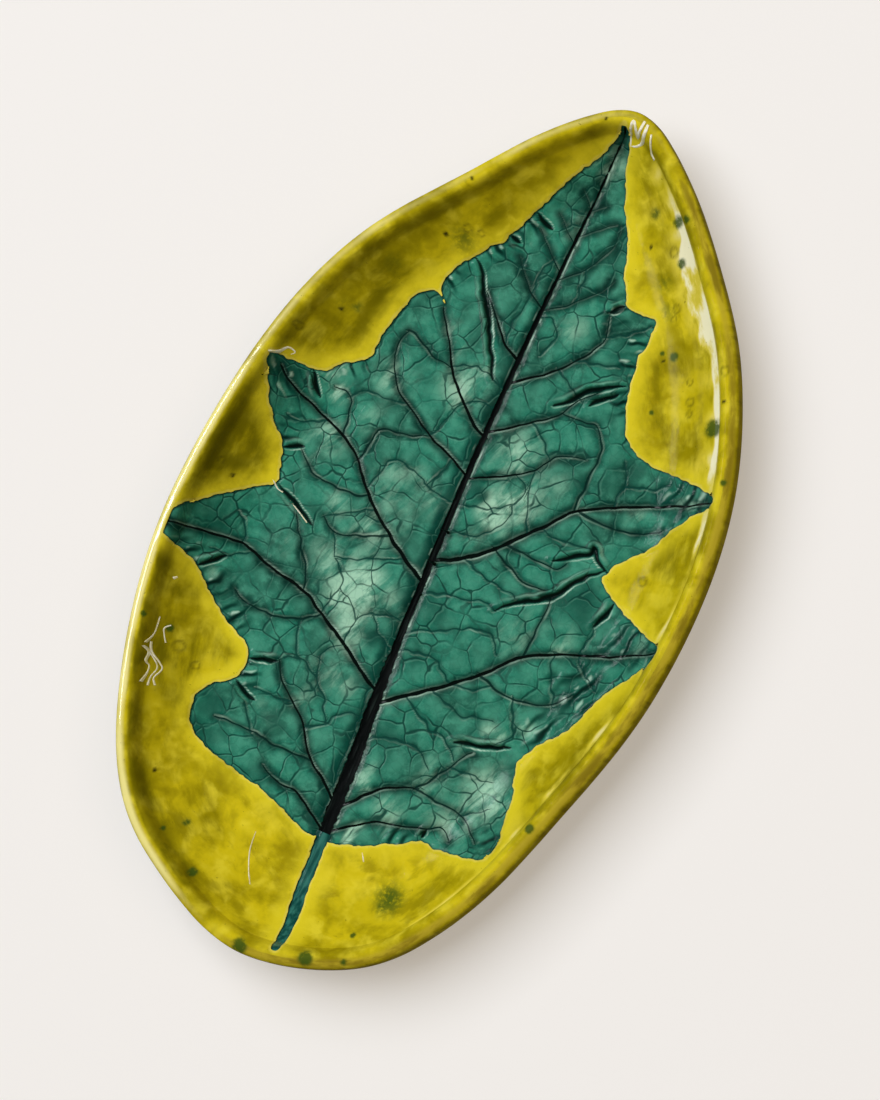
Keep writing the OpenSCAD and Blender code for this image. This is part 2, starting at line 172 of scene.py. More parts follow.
# Fine veins between them, and a line beside the midrib
FINE_VEINS = [
    [(-0.2, -117), (-0.9, -108), (-1.6, -92), (-2.3, -76), (-2.9, -60)],
    [(50, -94), (57, -89.5), (59.5, -87)],
    [(38.5, -79.5), (50, -78.5), (56, -77.5)],
    [(50, -46), (54.5, -54.5), (56, -58.5), (52, -63)],
    [(19.5, -55.5), (28, -58), (33.5, -60), (40, -58), (46.5, -56.5)],
    [(11, -62), (20.5, -66.5), (25.5, -69.5), (33, -70.5), (38.5, -76.5)],
    [(33, 17), (41.5, 16), (48, 17), (54.5, 18.5)],
    [(10.5, -4.5), (16.5, -7), (23.5, -9), (30.5, -10), (35, -10.5)],
    [(26, 93.5), (35, 99.5), (40, 103.5)],
    [(18.5, 81), (28.5, 83), (35, 84.5)],
    [(0.5, -23.5), (8, -20.5), (18, -18.5), (25, -17), (29.5, -18)],
    [(1, -39.5), (6.5, -36.5), (13, -33.5), (16.5, -32), (24, -28), (32, -27), (38, -33)],
    [(0.5, -47), (9.5, -44.5), (17, -45), (24, -50)],
    [(-1, 13), (5.5, 15), (12, 16.5), (19, 21), (22, 28), (16, 32.5)],
    [(-1.5, 3.5), (8.5, 3.5), (15, 8), (19, 14), (19, 21)],
    [(4.5, -82), (7, -80.5), (15.5, -78.5), (23.5, -78), (31, -83)],
    [(-39.5, -99), (-43, -94.5), (-46.5, -90.5)],
    [(-30, -82), (-36.5, -83), (-45, -83)],
    [(-73.5, -34.5), (-74.5, -29.5), (-79, -24)],
    [(-70, -37), (-76.5, -41), (-83, -41)],
    [(-33, -46.5), (-30.5, -36.5), (-30, -31.5), (-37, -24), (-41.5, -16)],
    [(-58, 34.5), (-53.5, 38.5), (-48, 39.5), (-40.5, 39.5), (-37, 41)],
    [(-62, 22.5), (-68, 19.5), (-73.5, 17.5), (-76.5, 18)],
    [(-11.5, -14.5), (-19.5, -18), (-28.5, -22), (-37, -24)],
    [(-30.5, -2), (-38, -6), (-43.5, -9.5), (-48, -12)],
    [(-37, 5), (-33.5, 13.5), (-33, 18.5), (-27, 19), (-18, 16.5), (-15.5, 14.5), (-3.5, 13)],
    [(-20, -53.5), (-19, -44), (-14, -38), (-3, -36)],
    [(-19, -44), (-24, -38), (-30, -35)],
    [(-3, -48), (-9, -44), (-14, -38)],
    [(-21, -89), (-14, -85), (-9, -78), (-1, -76)],
    [(-14, -85), (-18, -76), (-24, -70), (-26, -60), (-20, -53.5)],
    [(-24, -70), (-33, -66), (-40, -68)],
    [(-33, -66), (-38, -60), (-39.5, -51.5)],
    [(-2, 52), (-9, 53), (-15, 49.5)],
    [(-25.5, 60.5), (-18, 64), (-12, 64), (-3, 60)],
    [(-22, 33), (-19, 41), (-15, 49.5)],
    [(5, 78), (8, 86), (4, 92), (-1, 91)],
    [(14, 75.5), (20, 72), (26.5, 68)],
    [(13, 53), (19, 49), (25, 42)],
    [(57, -24.5), (60, -32), (65, -41.5)],
    [(66.5, -20.5), (72, -27), (79, -30)],
    [(66.5, -20.5), (68, -11), (67, -8.5)],
    [(28.5, 13), (25, 22), (21.5, 36.5)],
    [(54.5, 35), (56, 45), (52, 53)],
    [(56, 45), (66, 47), (72, 52)],
    [(24, -50), (34, -49), (40.5, -44.5)],
    [(-10, 28), (-12, 20), (-15.5, 14.5)],
    [(-5, 113.5), (-8, 107), (-8, 98.5)],
    [(8, 115), (9, 108), (9.5, 102)],
    [(-9.5, 76.5), (-10, 86), (-8, 98.5)],
]

# Folds where the leaf was creased when it was pressed in
FOLDS = [
    [(41, 79.5), (33, 75), (28, 72), (23, 66), (18, 62)],
    [(39.5, 75), (33.5, 70.5), (31, 67)],
    [(-34.5, 102.5), (-30, 99.5), (-26.5, 93), (-20.5, 84.5), (-13.5, 72), (-12, 69.5), (-8, 61.5)],
    [(29.5, -18), (35, -13), (40.5, -9.5), (48, -4.5), (53.5, 3.5), (58, 8.5), (62, 12)],
    [(42, 8), (48, 11.5), (54.5, 15.5), (55.5, 18.5), (58, 15.5), (64.5, 11.5)],
    [(35.5, -70), (40.5, -68.5), (45, -67.5), (50.5, -65.5), (57, -62.5)],
    [(70.5, 2), (69.5, -3), (67, -8.5)],
    [(-74, 6.5), (-70.5, 8.5), (-67, 9.5)],
    [(-70, -8), (-62, -11.5), (-55.5, -14.5), (-50.5, -17)],
    [(-52, -73.5), (-48, -72.5), (-41.5, -70.5)],
    [(-53.5, -83.5), (-50, -85.5), (-43.5, -88)],
    [(-84.5, -49), (-81.5, -45.5), (-77, -41.5)],
    [(-74.5, 38.5), (-72, 34), (-69, 30)],
    [(-18.5, 127.5), (-14, 125), (-10.5, 124)],
    [(-24.5, 115.5), (-20, 114.5)],
    [(28, 107), (23.5, 103)],
    [(39.5, -108), (40, -104.5)],
]

# Places on the leaf that are pale, from glaze broken pale and from painted sheen, and places where the glaze
# pooled dark: middle, reach and strength
PALE_PATCHES = [
    (-25, -33, 12, 1.0), (-20, -46, 8, 0.7), (-37, -28, 9, 0.6), (-10, -30, 7, 0.5), (14, 15, 7, 1.0),
    (20, 24, 7, 0.8), (15, 37, 10, 0.5), (-30, -10, 9, 0.5), (-22, 0, 9, 0.35), (-20, 55, 9, 0.5),
    (-10, 60, 6, 0.4), (-25, 14, 9, 0.35), (-62, 15, 8, 0.5), (-45, 48, 8, 0.45), (-66, 38, 5, 0.7),
    (-18, -66, 9, 0.5), (-25, -77, 8, 0.4), (56, -85, 11, 0.75), (50, -60, 5, 0.5), (38, -73, 5, 0.4),
    (56, -20, 7, 0.35), (25, -104, 8, 0.45), (46, -98, 8, 0.45), (32, -86, 9, 0.35), (11, -96, 5, 0.6),
    (14, -118, 3, 1.0), (42, -25, 8, 0.35), (2, 155, 6, 0.5), (-6, 128, 6, 0.3), (12, 90, 7, 0.35),
    (-58, -28, 7, 0.4), (-46, 30, 8, 0.3), (30, 33, 8, 0.35), (-12, 8, 8, 0.4), (62, -52, 5, 0.6),
    (66, 34, 5, 0.3), (-45, -5, 7, 0.35), (8, 3, 6, 0.35), (84, 46, 4, 0.5), (86, -10, 4, 0.5),
    (-30, 72, 7, 0.3), (-38, -92, 6, 0.3), (-78, -48, 5, 0.35),
]
DARK_PATCHES = [
    (4, 21, 5, 1.0), (7, -28, 8, 0.7), (9, -45, 9, 0.6), (10, -76, 9, 0.7), (-6, -24, 5, 0.6),
    (-7, -46, 6, 0.8), (60, -4, 10, 0.8), (74, 47, 10, 0.75), (82, -6, 9, 0.6), (66, -46, 9, 0.55),
    (52, 46, 9, 0.6), (-78, 14, 6, 0.5), (-86, -30, 8, 0.7), (-58, -106, 8, 0.7), (-60, -94, 7, 0.7),
    (30, -38, 9, 0.4), (36, 90, 8, 0.6), (36, 62, 7, 0.5), (14, 122, 8, 0.3), (-84, 34, 6, 0.8),
    (-7, 16, 4, 0.6), (-8, -8, 5, 0.5), (40, -98, 7, 0.4), (74, -28, 10, 0.65), (-36, 96, 5, 0.6),
    (-46, 78, 6, 0.4), (-30, -112, 7, 0.5), (24, -68, 7, 0.4), (-64, -50, 8, 0.3), (30, 98, 6, 0.5),
    (-8, -66, 5, 0.5), (4, 66, 5, 0.4),
]

# Crumpled skin near the ends of the lobes: middle, reach, direction of its ridges in degrees and height
CRUMPLES = [
    (82, 49, 12, 75, 0.5), (84, -9, 12, 72, 0.5), (74, -32, 13, 66, 0.6), (66, -52, 9, 60, 0.45),
    (-82, 32, 8, -50, 0.5), (-90, -46, 6, 55, 0.4), (-78, -53, 8, 55, 0.5), (-65, -62, 8, 55, 0.45),
    (-50, -80, 6, 30, 0.4), (-20, 122, 7, -29, 0.4), (-28, 110, 7, -29, 0.45), (38, 96, 6, 25, 0.4),
    (39, 87, 6, 25, 0.45), (42, 73, 6, 25, 0.4), (66, -97, 6, 60, 0.35), (-62, 46, 6, -60, 0.4),
    (26, 104, 7, 30, 0.3), (-76, 10, 6, 10, 0.4), (-40, 92, 6, -40, 0.35), (30, -111, 7, 80, 0.35),
]

# Copper marks in the yellow glaze: middle, reach and strength
COPPER_MARKS = [
    (25.7, 143.2, 2.4, 0.6), (36.8, 142.5, 2.4, 0.8), (40.7, 143.6, 1.6, 0.8), (43.6, 128.9, 1.8, 0.9),
    (53.9, 96.4, 1.6, 1.0), (48.9, 96, 1.0, 0.8), (80.7, 76.4, 3.2, 1.0), (54.3, 73.9, 1.1, 0.8),
    (80.4, -85.7, 1.7, 1.0), (38.8, -133.4, 7.5, 0.6), (37.7, -137.2, 3.4, 0.6), (33.5, -150.7, 1.1, 0.9),
    (22.7, -164.9, 2.6, 1.0), (36.9, -159.9, 1.3, 0.8), (-2.7, -171.8, 2.8, 1.0), (-33.5, -155.7, 1.6, 1.0),
    (-92.1, -74.3, 1.1, 1.0), (-83.6, -75.7, 1.6, 0.8), (-40, 107, 6.5, 0.45), (-67.9, 67.1, 2.4, 0.5),
    (39.3, 120.7, 5, 0.4), (45, 111.4, 5, 0.4), (-61, 88, 6, 0.3), (-72, 66, 5, 0.3),
    (-51.5, -145.7, 1.0, 0.8), (-45.8, -140.5, 1.6, 0.7), (94, 59, 1.2, 0.9), (62, 47, 3, 0.2),
]
DARK_DOTS = [
    (28.6, 131.4, 0.8), (81.8, 86.4, 0.9), (-72.5, 63.9, 0.9), (-46.4, 106.1, 1.0), (-3.2, 167.5, 0.8),
    (50.4, 93.6, 0.7), (-65, -127.5, 0.9), (-86.1, -11.8, 0.8), (-42, 128, 0.9), (-57.9, 111.4, 0.9),
]
# Burst bubbles: middle and reach
BUBBLES = [
    (-78.2, -80.7, 2.0), (-70, -85, 1.5), (-83.6, 51.4, 1.3), (-91.4, -8.2, 1.1), (47.9, 113.2, 1.5),
    (48.2, 109.3, 1.1), (77.5, 97.1, 1.6), (67.1, 82.9, 1.5), (68.6, 78.6, 1.1), (77.9, 14.3, 1.6),
    (-39.6, 111.4, 1.4), (63.9, 89.6, 1.1), (38.9, 132.1, 1.7), (-34.6, 111.8, 1.2),
]
# Painted highlights on the right wall, inside the crease: middle, reach and strength
HIGHLIGHT_MARKS = [
    (22, 157, 4, 0.7), (31, 147, 5, 0.8), (39, 140, 5, 0.9), (45, 131, 6, 1.0), (53, 122, 7, 1.0),
    (60, 114, 7, 0.9), (66, 108, 5, 1.0), (74, 94, 4, 1.0), (81, 80, 4, 0.8), (86, 66, 5, 0.9),
    (90, 55, 5, 1.0), (82, 60, 5, 0.5), (24, 145, 5, 0.4), (35, 128, 6, 0.45), (46, 108, 7, 0.35),
    (60, 92, 6, 0.3), (60, -68, 5, 0.4), (72, -88, 6, 0.4),
]
# Painted highlight band inside the crease on the right, from the round end on: place along the tray and width
HIGHLIGHT_BAND = [
    (-150, 0.0), (-100, 1.3), (-60, 1.9), (-20, 1.5), (30, 1.6), (50, 2.6), (60, 3.2), (72, 2.2), (85, 2.0),
    (96, 2.4), (104, 5.0), (112, 7.5), (122, 8.0), (130, 6.0), (137, 3.4), (145, 2.2), (157, 1.4),
    (166, 0.5),
]
# Runs of thick glaze on the wall and the lip, coloured near white as painted highlights: place and width
GLAZE_RUNS = [
    [(-86.5, -83, 0.78), (-85, -86.5, 0.91), (-81, -89.5, 0.78), (-79.5, -91.5, 0.72), (-80.5, -95.5, 0.72),
     (-79, -98, 0.98)],
    [(-85.5, -87, 0.65), (-82, -90, 0.65), (-81, -92, 0.65), (-81.5, -95.5, 0.65), (-81, -99, 1.04)],
    [(-87.5, -85.5, 0.78), (-85.5, -87, 0.98), (-85, -90.5, 0.65), (-83.5, -92, 0.65), (-83, -95, 0.72),
     (-83, -98.5, 0.72)],
    [(-83.5, -74.5, 0.78), (-85, -76.5, 0.72), (-84, -79, 0.59), (-82.5, -81.5, 0.78)],
    [(-88, -73, 0.33), (-87, -79.5, 0.52), (-87.5, -84, 0.65)],
    [(-89.6, -57.5, 1.3), (-88.6, -56.3, 0.9)],
    [(-21, -133, 0.4), (-20, -140, 0.6), (-17, -146.5, 0.6), (-13.5, -151.5, 0.4)],
    [(21, -122.5, 0.6), (22, -124, 0.8), (23, -125.5, 0.6)],
    [(7.5, 162.5, 1.1), (6.8, 167, 1.1), (7, 170.5, 1), (8.5, 168.5, 1.1), (10, 166, 1.3), (10.8, 169, 1.1),
     (11.2, 171.8, 0.9)],
    [(12.8, 171, 0.9), (12.8, 168, 1.4), (12.2, 165, 1.5), (9.8, 163.2, 1.2), (7.8, 162.8, 1.1)],
    [(15.5, 168, 0.7), (16.5, 164, 1), (17.3, 162, 0.9), (19, 160.5, 0.7)],
    [(-89, 37.5, 0.8), (-86.5, 39, 1), (-84.5, 42, 1.1), (-82, 41.5, 0.9), (-83, 40, 0.7)],
    [(-72.5, -7, 0.6), (-69.5, -9.5, 0.7), (-67, -10, 0.5)],
    [(-63, -12, 0.4), (-57.5, -14.5, 0.6), (-53, -17, 0.4)],
]


def wobble(xy, reach, seed):
    """Smooth unevenness of about the given reach in millimetres, from about -1 to 1"""
    lifted = np.column_stack([xy / reach, np.full(len(xy), seed * 7.3)])
    return np.array([noise.noise(Vector(p)) for p in lifted])


def smooth_step(value, low, high):
    t = np.clip((value - low) / (high - low), 0, 1)
    return t * t * (3 - 2 * t)


def bell(value, width, centre=0.0):
    """1 at the centre, falling away smoothly on both sides of it"""
    return np.exp(-((value - centre) / width) ** 2)


def curve_through(points, step, closed=False):
    """Points about every step along a smooth curve through given ones"""
    p = np.array(points, float)
    if closed:
        before, start, end, after = np.roll(p, 1, 0), p, np.roll(p, -1, 0), np.roll(p, -2, 0)
    else:
        ends = np.vstack([p[:1], p, p[-1:]])
        before, start, end, after = ends[:-3], ends[1:-2], ends[2:-1], ends[3:]
    t = np.linspace(0, 1, 24, endpoint=False)[None, :, None]
    before, start, end, after = (q[:, None, :] for q in (before, start, end, after))
    bend = 2 * start + (end - before) * t + (2 * before - 5 * start + 4 * end - after) * t ** 2
    bend = (bend + (3 * start - before - 3 * end + after) * t ** 3) / 2
    line = bend.reshape(-1, p.shape[1])
    line = np.vstack([line, line[:1] if closed else p[-1:]])
    run = np.concatenate([[0], np.cumsum(np.linalg.norm(np.diff(line[:, :2], axis=0), axis=1))])
    count = max(int(run[-1] / step), 2)
    at = np.linspace(0, run[-1], count + 1)
    if closed:
        at = at[:-1]
    return np.column_stack([np.interp(at, run, line[:, k]) for k in range(p.shape[1])])


def to_frame(points):
    """Drawn points, with any width that follows them, in the frame's place"""
    p = np.array(points, float)
    p[:, 0] -= OUTLINE_SHIFT
    return p


class Lines:
    """Lines on the plan that can say how far points are from them, and on which side"""

    def __init__(self, paths, half, taper=1.0, closed=False, pointed=False):
        spots, ways, halves = [], [], []
        for number, path in enumerate(paths):
            wide = half[number] if isinstance(half, list) else half
            p = to_frame(path)
            line = curve_through(p, 0.2, closed)
            if line.shape[1] == 3:
                half_here = line[:, 2] / 2
                line = line[:, :2]
            else:
                half_here = np.linspace(wide, wide * taper, len(line))
                if pointed:
                    half_here = wide * np.sqrt(np.sin(np.linspace(0.12, math.pi - 0.12, len(line))))
            way = np.roll(line, -1, 0) - np.roll(line, 1, 0) if closed else np.gradient(line, axis=0)
            spots.append(line)
            ways.append(way / np.linalg.norm(way, axis=1)[:, None])
            halves.append(half_here)
        self.spots = np.vstack(spots)
        self.ways = np.vstack(ways)
        self.halves = np.concatenate(halves)
        self.tree = kdtree.KDTree(len(self.spots))
        for index, (x, y) in enumerate(self.spots):
            self.tree.insert((x, y, 0), index)
        self.tree.balance()

    def look(self, xy):
        """Distance, side (positive to the left of the line) and half width at the nearest place"""
        found = [self.tree.find((x, y, 0)) for x, y in xy]
        near = np.array([f[1] for f in found])
        gap = np.array([f[2] for f in found])
        off = xy - self.spots[near]
        way = self.ways[near]
        side = np.where(way[:, 0] * off[:, 1] - way[:, 1] * off[:, 0] >= 0, 1.0, -1.0)
        return gap, side, self.halves[near]


def rim_outline():
    """The outside of the rim, read from the rim glaze where it is widest"""
    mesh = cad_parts["rim_glaze"].data
    spots = np.zeros(len(mesh.vertices) * 3)
    mesh.vertices.foreach_get("co", spots)
    spots = spots.reshape(-1, 3) / MM
    angle = np.round(np.arctan2(spots[:, 1], spots[:, 0]), 3)
    outside = {}
    for a, (x, y, z) in zip(angle, spots):
        if abs(z - (LIP_TOP - 9.2)) < 0.05:
            outside[a] = (x, y)
    return np.array([outside[a] for a in sorted(outside)])


RIM = curve_through(rim_outline(), 0.5, closed=True)
RIM_ANGLE = np.unwrap(np.arctan2(RIM[:, 1], RIM[:, 0]))
RIM_REACH = np.hypot(RIM[:, 0], RIM[:, 1])


def rim_reach(angle):
    return np.interp(angle, RIM_ANGLE, RIM_REACH, period=2 * math.pi)


def inwards(xy):
    """Distance of plan points from the outside of the rim, along the lean of the wall"""
    low, high = np.zeros(len(xy)), np.full(len(xy), 0.9995)
    lean = np.array([1.0, 1 - SPINE_LEAN])
    for _ in range(26):
        mid = (low + high) / 2
        out = xy / (1 - lean * mid[:, None])
        past = np.hypot(out[:, 0], out[:, 1]) > rim_reach(np.arctan2(out[:, 1], out[:, 0]))
        high = np.where(past, mid, high)
        low = np.where(past, low, mid)
    out = xy / (1 - lean * low[:, None])
    return low * np.hypot(out[:, 0], out[:, 1] * (1 - SPINE_LEAN))


def wall_height(w):
    """Height of the yellow glaze on the floor and the wall"""
    return FLOOR_Z + WALL_RISE * (np.clip(WALL_RUN - w, 0, None) / (WALL_RUN - CREASE_W)) ** 2


def lip_height(w):
    """Height of the yellow glaze on the inside of the lip"""
    fall = (LIP_TOP - wall_height(EDGE_W)) / (EDGE_W - LIP_W) ** 3
    return LIP_TOP - fall * np.clip(w - LIP_W, 0, None) ** 3


def well_height(w):
    """Height of the yellow glaze inside the tray, from the top of the lip to the floor"""
    return np.maximum(wall_height(w), lip_height(w))


def towards_light(xy):
    """1 on the side of the tray that the light comes from, and -1 on the side across from it"""
    out = xy / (103.0 ** 2, 175.0 ** 2)
    out /= np.clip(np.linalg.norm(out, axis=1), 1e-9, None)[:, None]
    return out @ (-0.92, 0.39)


def hand_wave(xy, w):
    """Unevenness that the maker's hands left in the slab and the lip"""
    calm = smooth_step(w, 2, 16)
    slab = 0.42 * wobble(xy, 26, 1) + 0.16 * wobble(xy, 9, 2)
    lip = 0.2 * (1 + wobble(xy, 34, 3)) + 0.14 * (1 + wobble(xy, 8, 4))
    apart = np.abs(wall_height(w) - lip_height(w))
    fillet = 1.25 * np.clip(1 - apart / 5, 0, 1) ** 2 * smooth_step(w, 6, 7.5)
    return calm * slab - (1 - calm) * lip + fillet * smooth_step(towards_light(xy), -0.3, 0.4)


MARGIN = Lines([LEAF_MARGIN], 0, closed=True)
STEM_LINE = Lines([STEM], 0)
MIDRIB_LINE = Lines([MIDRIB], 0)
SIDE_LINES = Lines(SIDE_VEINS, [width / 2 for width in SIDE_WIDTHS], 0.45)
BRANCH_LINES = Lines(BRANCH_VEINS, 0.42, 0.5)
FINE_LINES = Lines(FINE_VEINS, 0.36, 0.7)
# each fold is taken towards +Y, so that its left side is the one that faces the light
FOLD_LINES = Lines([fold if fold[-1][1] > fold[0][1] else fold[::-1] for fold in FOLDS], 1.2, pointed=True)


def ragged(xy):
    """Small unevenness of a torn edge"""
    return 0.5 * wobble(xy, 6, 10) + 0.6 * wobble(xy, 2.8, 11) + 0.3 * wobble(xy, 1.3, 12)


def inside_leaf(xy):
    """Distance into the leaf from its margin; negative outside"""
    gap, side, _ = MARGIN.look(xy)
    return -gap * side + ragged(xy)


def inside_stem(xy):
    gap, _, half = STEM_LINE.look(xy)
    return half - gap + 0.6 * ragged(xy)


def beside_midrib(xy):
    """Distance from the edge of the midrib, and the side it is on"""
    gap, side, half = MIDRIB_LINE.look(xy)
    teeth = 0.55 * wobble(xy * (0.3, 1), 1.1, 13) * smooth_step(half, 0.8, 2.2)
    return gap - half + 0.4 * ragged(xy) + teeth, side


def wander(xy, reach, shift, seed):
    """Plan points moved about a little, so that a line seen from them isn't drawn too evenly"""
    return xy + shift * np.column_stack([wobble(xy, reach, seed), wobble(xy, reach, seed + 1)])


def patches(xy, marks):
    """How strongly a list of soft patches covers plan points"""
    total = np.zeros(len(xy))
    for x, y, reach, strength in marks:
        away = np.hypot(xy[:, 0] - x + OUTLINE_SHIFT, xy[:, 1] - y) / reach
        total = np.maximum(total, strength * np.exp(-away ** 2 * 0.8))
    return total


# Meshes
def deselect():
    if bpy.context.object and bpy.context.object.mode != "OBJECT":
        bpy.ops.object.mode_set(mode="OBJECT")
    bpy.ops.object.select_all(action="DESELECT")


def new_sheet(name, columns, rows):
    """A flat grid, and how far along and across it each vertex is, from 0 to 1"""
    deselect()
    bpy.ops.mesh.primitive_grid_add(x_subdivisions=columns, y_subdivisions=rows, size=1)
    sheet = bpy.context.object
    sheet.name = sheet.data.name = name
    spots = read_spots(sheet)
    return sheet, spots[:, 0] + 0.5, spots[:, 1] + 0.5


def read_spots(piece):
    spots = np.zeros(len(piece.data.vertices) * 3)
    piece.data.vertices.foreach_get("co", spots)
    return spots.reshape(-1, 3)


def read_value(piece, name):
    values = np.zeros(len(piece.data.vertices), np.float32)
    piece.data.attributes[name].data.foreach_get("value", values)
    return values


def write_spots(piece, spots):
    piece.data.vertices.foreach_set("co", np.ascontiguousarray(spots, np.float32).ravel())
    piece.data.update()


def drop_vertices(piece, gone):
    deselect()
    bpy.context.view_layer.objects.active = piece
    piece.select_set(True)
    mesh = piece.data
    mesh.polygons.foreach_set("select", np.zeros(len(mesh.polygons), bool))
    mesh.edges.foreach_set("select", np.zeros(len(mesh.edges), bool))
    mesh.vertices.foreach_set("select", gone)
    bpy.ops.object.mode_set(mode="EDIT")
    bpy.ops.mesh.select_mode(type="VERT")
    bpy.ops.mesh.delete(type="VERT")
    bpy.ops.mesh.select_all(action="SELECT")
    bpy.ops.mesh.delete_loose()
    bpy.ops.object.mode_set(mode="OBJECT")


def edge_vertices(piece):
    """Vertices on the open edges of a sheet"""
    mesh = piece.data
    loops = np.zeros(len(mesh.loops), int)
    mesh.loops.foreach_get("edge_index", loops)
    faces_at = np.bincount(loops, minlength=len(mesh.edges))
    ends = np.zeros(len(mesh.edges) * 2, int)
    mesh.edges.foreach_get("vertices", ends)
    rim = np.zeros(len(mesh.vertices), bool)
    rim[ends.reshape(-1, 2)[faces_at == 1].ravel()] = True
    return rim


def pull_to_edge(xy, field):
    """Moves plan points to where the field is zero"""
    nudge = 0.05
    for _ in range(3):
        here = field(xy)
        slope = np.column_stack([
            field(xy + (nudge, 0)) - field(xy - (nudge, 0)),
            field(xy + (0, nudge)) - field(xy - (0, nudge)),
        ]) / (2 * nudge)
        steep = np.clip((slope ** 2).sum(1), 0.3, None)
        xy = xy - np.clip(here / steep, -0.6, 0.6)[:, None] * slope
    return xy


def set_value(piece, name, values):
    slot = piece.data.attributes.new(name, "FLOAT", "POINT")
    slot.data.foreach_set("value", np.ascontiguousarray(values, np.float32))


def set_place(piece, name, values):
    slot = piece.data.attributes.new(name, "FLOAT_VECTOR", "POINT")
    slot.data.foreach_set("vector", np.ascontiguousarray(values, np.float32).ravel())


def thicken(piece, depth):
    deselect()
    bpy.context.view_layer.objects.active = piece
    piece.select_set(True)
    coat = piece.modifiers.new("thickness", "SOLIDIFY")
    coat.thickness = depth * MM
    coat.offset = -1
    bpy.ops.object.modifier_apply(modifier=coat.name)
    bpy.ops.object.shade_smooth_by_angle(angle=math.radians(50))


def finish_piece(piece, material, slot, *nodes):
    piece.data.materials.clear()
    piece.data.materials.append(material)
    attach(piece, "root")
    if nodes:
        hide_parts(*nodes)


# Materials
class Finish:
    """A material being mixed: its nodes, the place on the piece and the colour so far"""

    def __init__(self, name):
        self.material = bpy.data.materials.new(name)
        self.material.use_nodes = True
        self.tree = self.material.node_tree
        self.shader = self.tree.nodes["Principled BSDF"]
        self.where = self.add("TexCoord").outputs["Object"]
        self.colour = None

    def add(self, kind):
        return self.tree.nodes.new("ShaderNode" + kind)

    def wire(self, socket, value):
        """Joins another node's value to the socket, or sets the socket's own"""
        if isinstance(value, bpy.types.NodeSocket):
            self.tree.links.new(value, socket)
        else:
            socket.default_value = value

    def value(self, name, output="Fac"):
        """A value that the piece's vertices carry"""
        node = self.add("Attribute")
        node.attribute_name = name
        return node.outputs[output]

    def combine(self, operation, a, b):
        node = self.add("Math")
        node.operation = operation
        self.wire(node.inputs[0], a)
        self.wire(node.inputs[1], b)
        return node.outputs[0]

    def times(self, a, b):
        return self.combine("MULTIPLY", a, b)

    def ramp(self, value, low, high, out_low=0.0, out_high=1.0):
        """Goes smoothly from one level to another as the value goes from low to high"""
        node = self.add("MapRange")
        node.interpolation_type = "SMOOTHSTEP"
        self.wire(node.inputs["Value"], value)
        node.inputs["From Min"].default_value = low
        node.inputs["From Max"].default_value = high
        node.inputs["To Min"].default_value = out_low
        node.inputs["To Max"].default_value = out_high
        return node.outputs["Result"]

    def blend(self, share, under, over):
        node = self.add("Mix")
        node.data_type = "RGBA"
        self.wire(node.inputs["Factor"], share)
        for side, colour in (("A", under), ("B", over)):
            self.wire(node.inputs[side], (*colour, 1) if isinstance(colour, tuple) else colour)
        return node.outputs["Result"]

    def paint(self, share, colour):
        """Lays a colour over the one so far"""
        self.colour = self.blend(share, self.colour, colour)

    def shade(self, value, low, high, share, colour):
        """Lays a colour over the one so far, from none at the low value to the share at the high one"""
        self.paint(self.ramp(value, low, high, 0.0, share), colour)

    def grain(self, where, size, detail=3.0, rough=0.55, distortion=0.0):
        """Cloudy noise with features of about the given size in millimetres"""
        node = self.add("TexNoise")
        self.wire(node.inputs["Vector"], where)
        node.inputs["Scale"].default_value = 1 / (size * MM)
        node.inputs["Detail"].default_value = detail
        node.inputs["Roughness"].default_value = rough
        node.inputs["Distortion"].default_value = distortion
        return node.outputs["Fac"]

    def net(self, where, size):
        """Distance from the edges of an irregular net with cells of about the given size in millimetres"""
        node = self.add("TexVoronoi")
        node.feature = "DISTANCE_TO_EDGE"
        self.wire(node.inputs["Vector"], where)
        node.inputs["Scale"].default_value = 1 / (size * MM)
        return node.outputs["Distance"]

    def bent(self, size, reach):
        """The place, shifted about by soft noise, so that a net on it isn't straight"""
        node = self.add("TexNoise")
        self.wire(node.inputs["Vector"], self.where)
        node.inputs["Scale"].default_value = 1 / (size * MM)
        shift = self.add("VectorMath")
        shift.operation = "MULTIPLY_ADD"
        self.wire(shift.inputs[0], node.outputs["Color"])
        shift.inputs[1].default_value = (reach * MM,) * 3
        self.wire(shift.inputs[2], self.where)
        return shift.outputs[0]

    def stretched(self, scale, kind="POINT", turn=0):
        """The place, drawn out so that noise on it makes fibres or brush marks"""
        node = self.add("Mapping")
        node.vector_type = kind
        node.inputs["Rotation"].default_value = (0, 0, math.radians(turn))
        node.inputs["Scale"].default_value = scale
        self.wire(node.inputs["Vector"], self.where)
        return node.outputs["Vector"]

    def bump(self, height, depth, under=None):
        node = self.add("Bump")
        node.inputs["Distance"].default_value = depth * MM
        self.wire(node.inputs["Height"], height)
        if under is not None:
            self.wire(node.inputs["Normal"], under)
        return node.outputs["Normal"]

    def vein(self, name, soft_in, soft_out):
        """1 on a vein and 0 off it, from its side and gap values"""
        side = self.combine("ABSOLUTE", self.value(name + "_side"), 0.0)
        near = self.ramp(self.value(name + "_gap"), 1.5, 0.9)
        return self.times(self.ramp(side, soft_out, soft_in), near)

    def done(self, roughness, gloss, normal):
        self.wire(self.shader.inputs["Base Color"], self.colour)
        self.wire(self.shader.inputs["Roughness"], roughness)
        self.wire(self.shader.inputs["Specular IOR Level"], gloss)
        self.wire(self.shader.inputs["Normal"], normal)
        return self.material


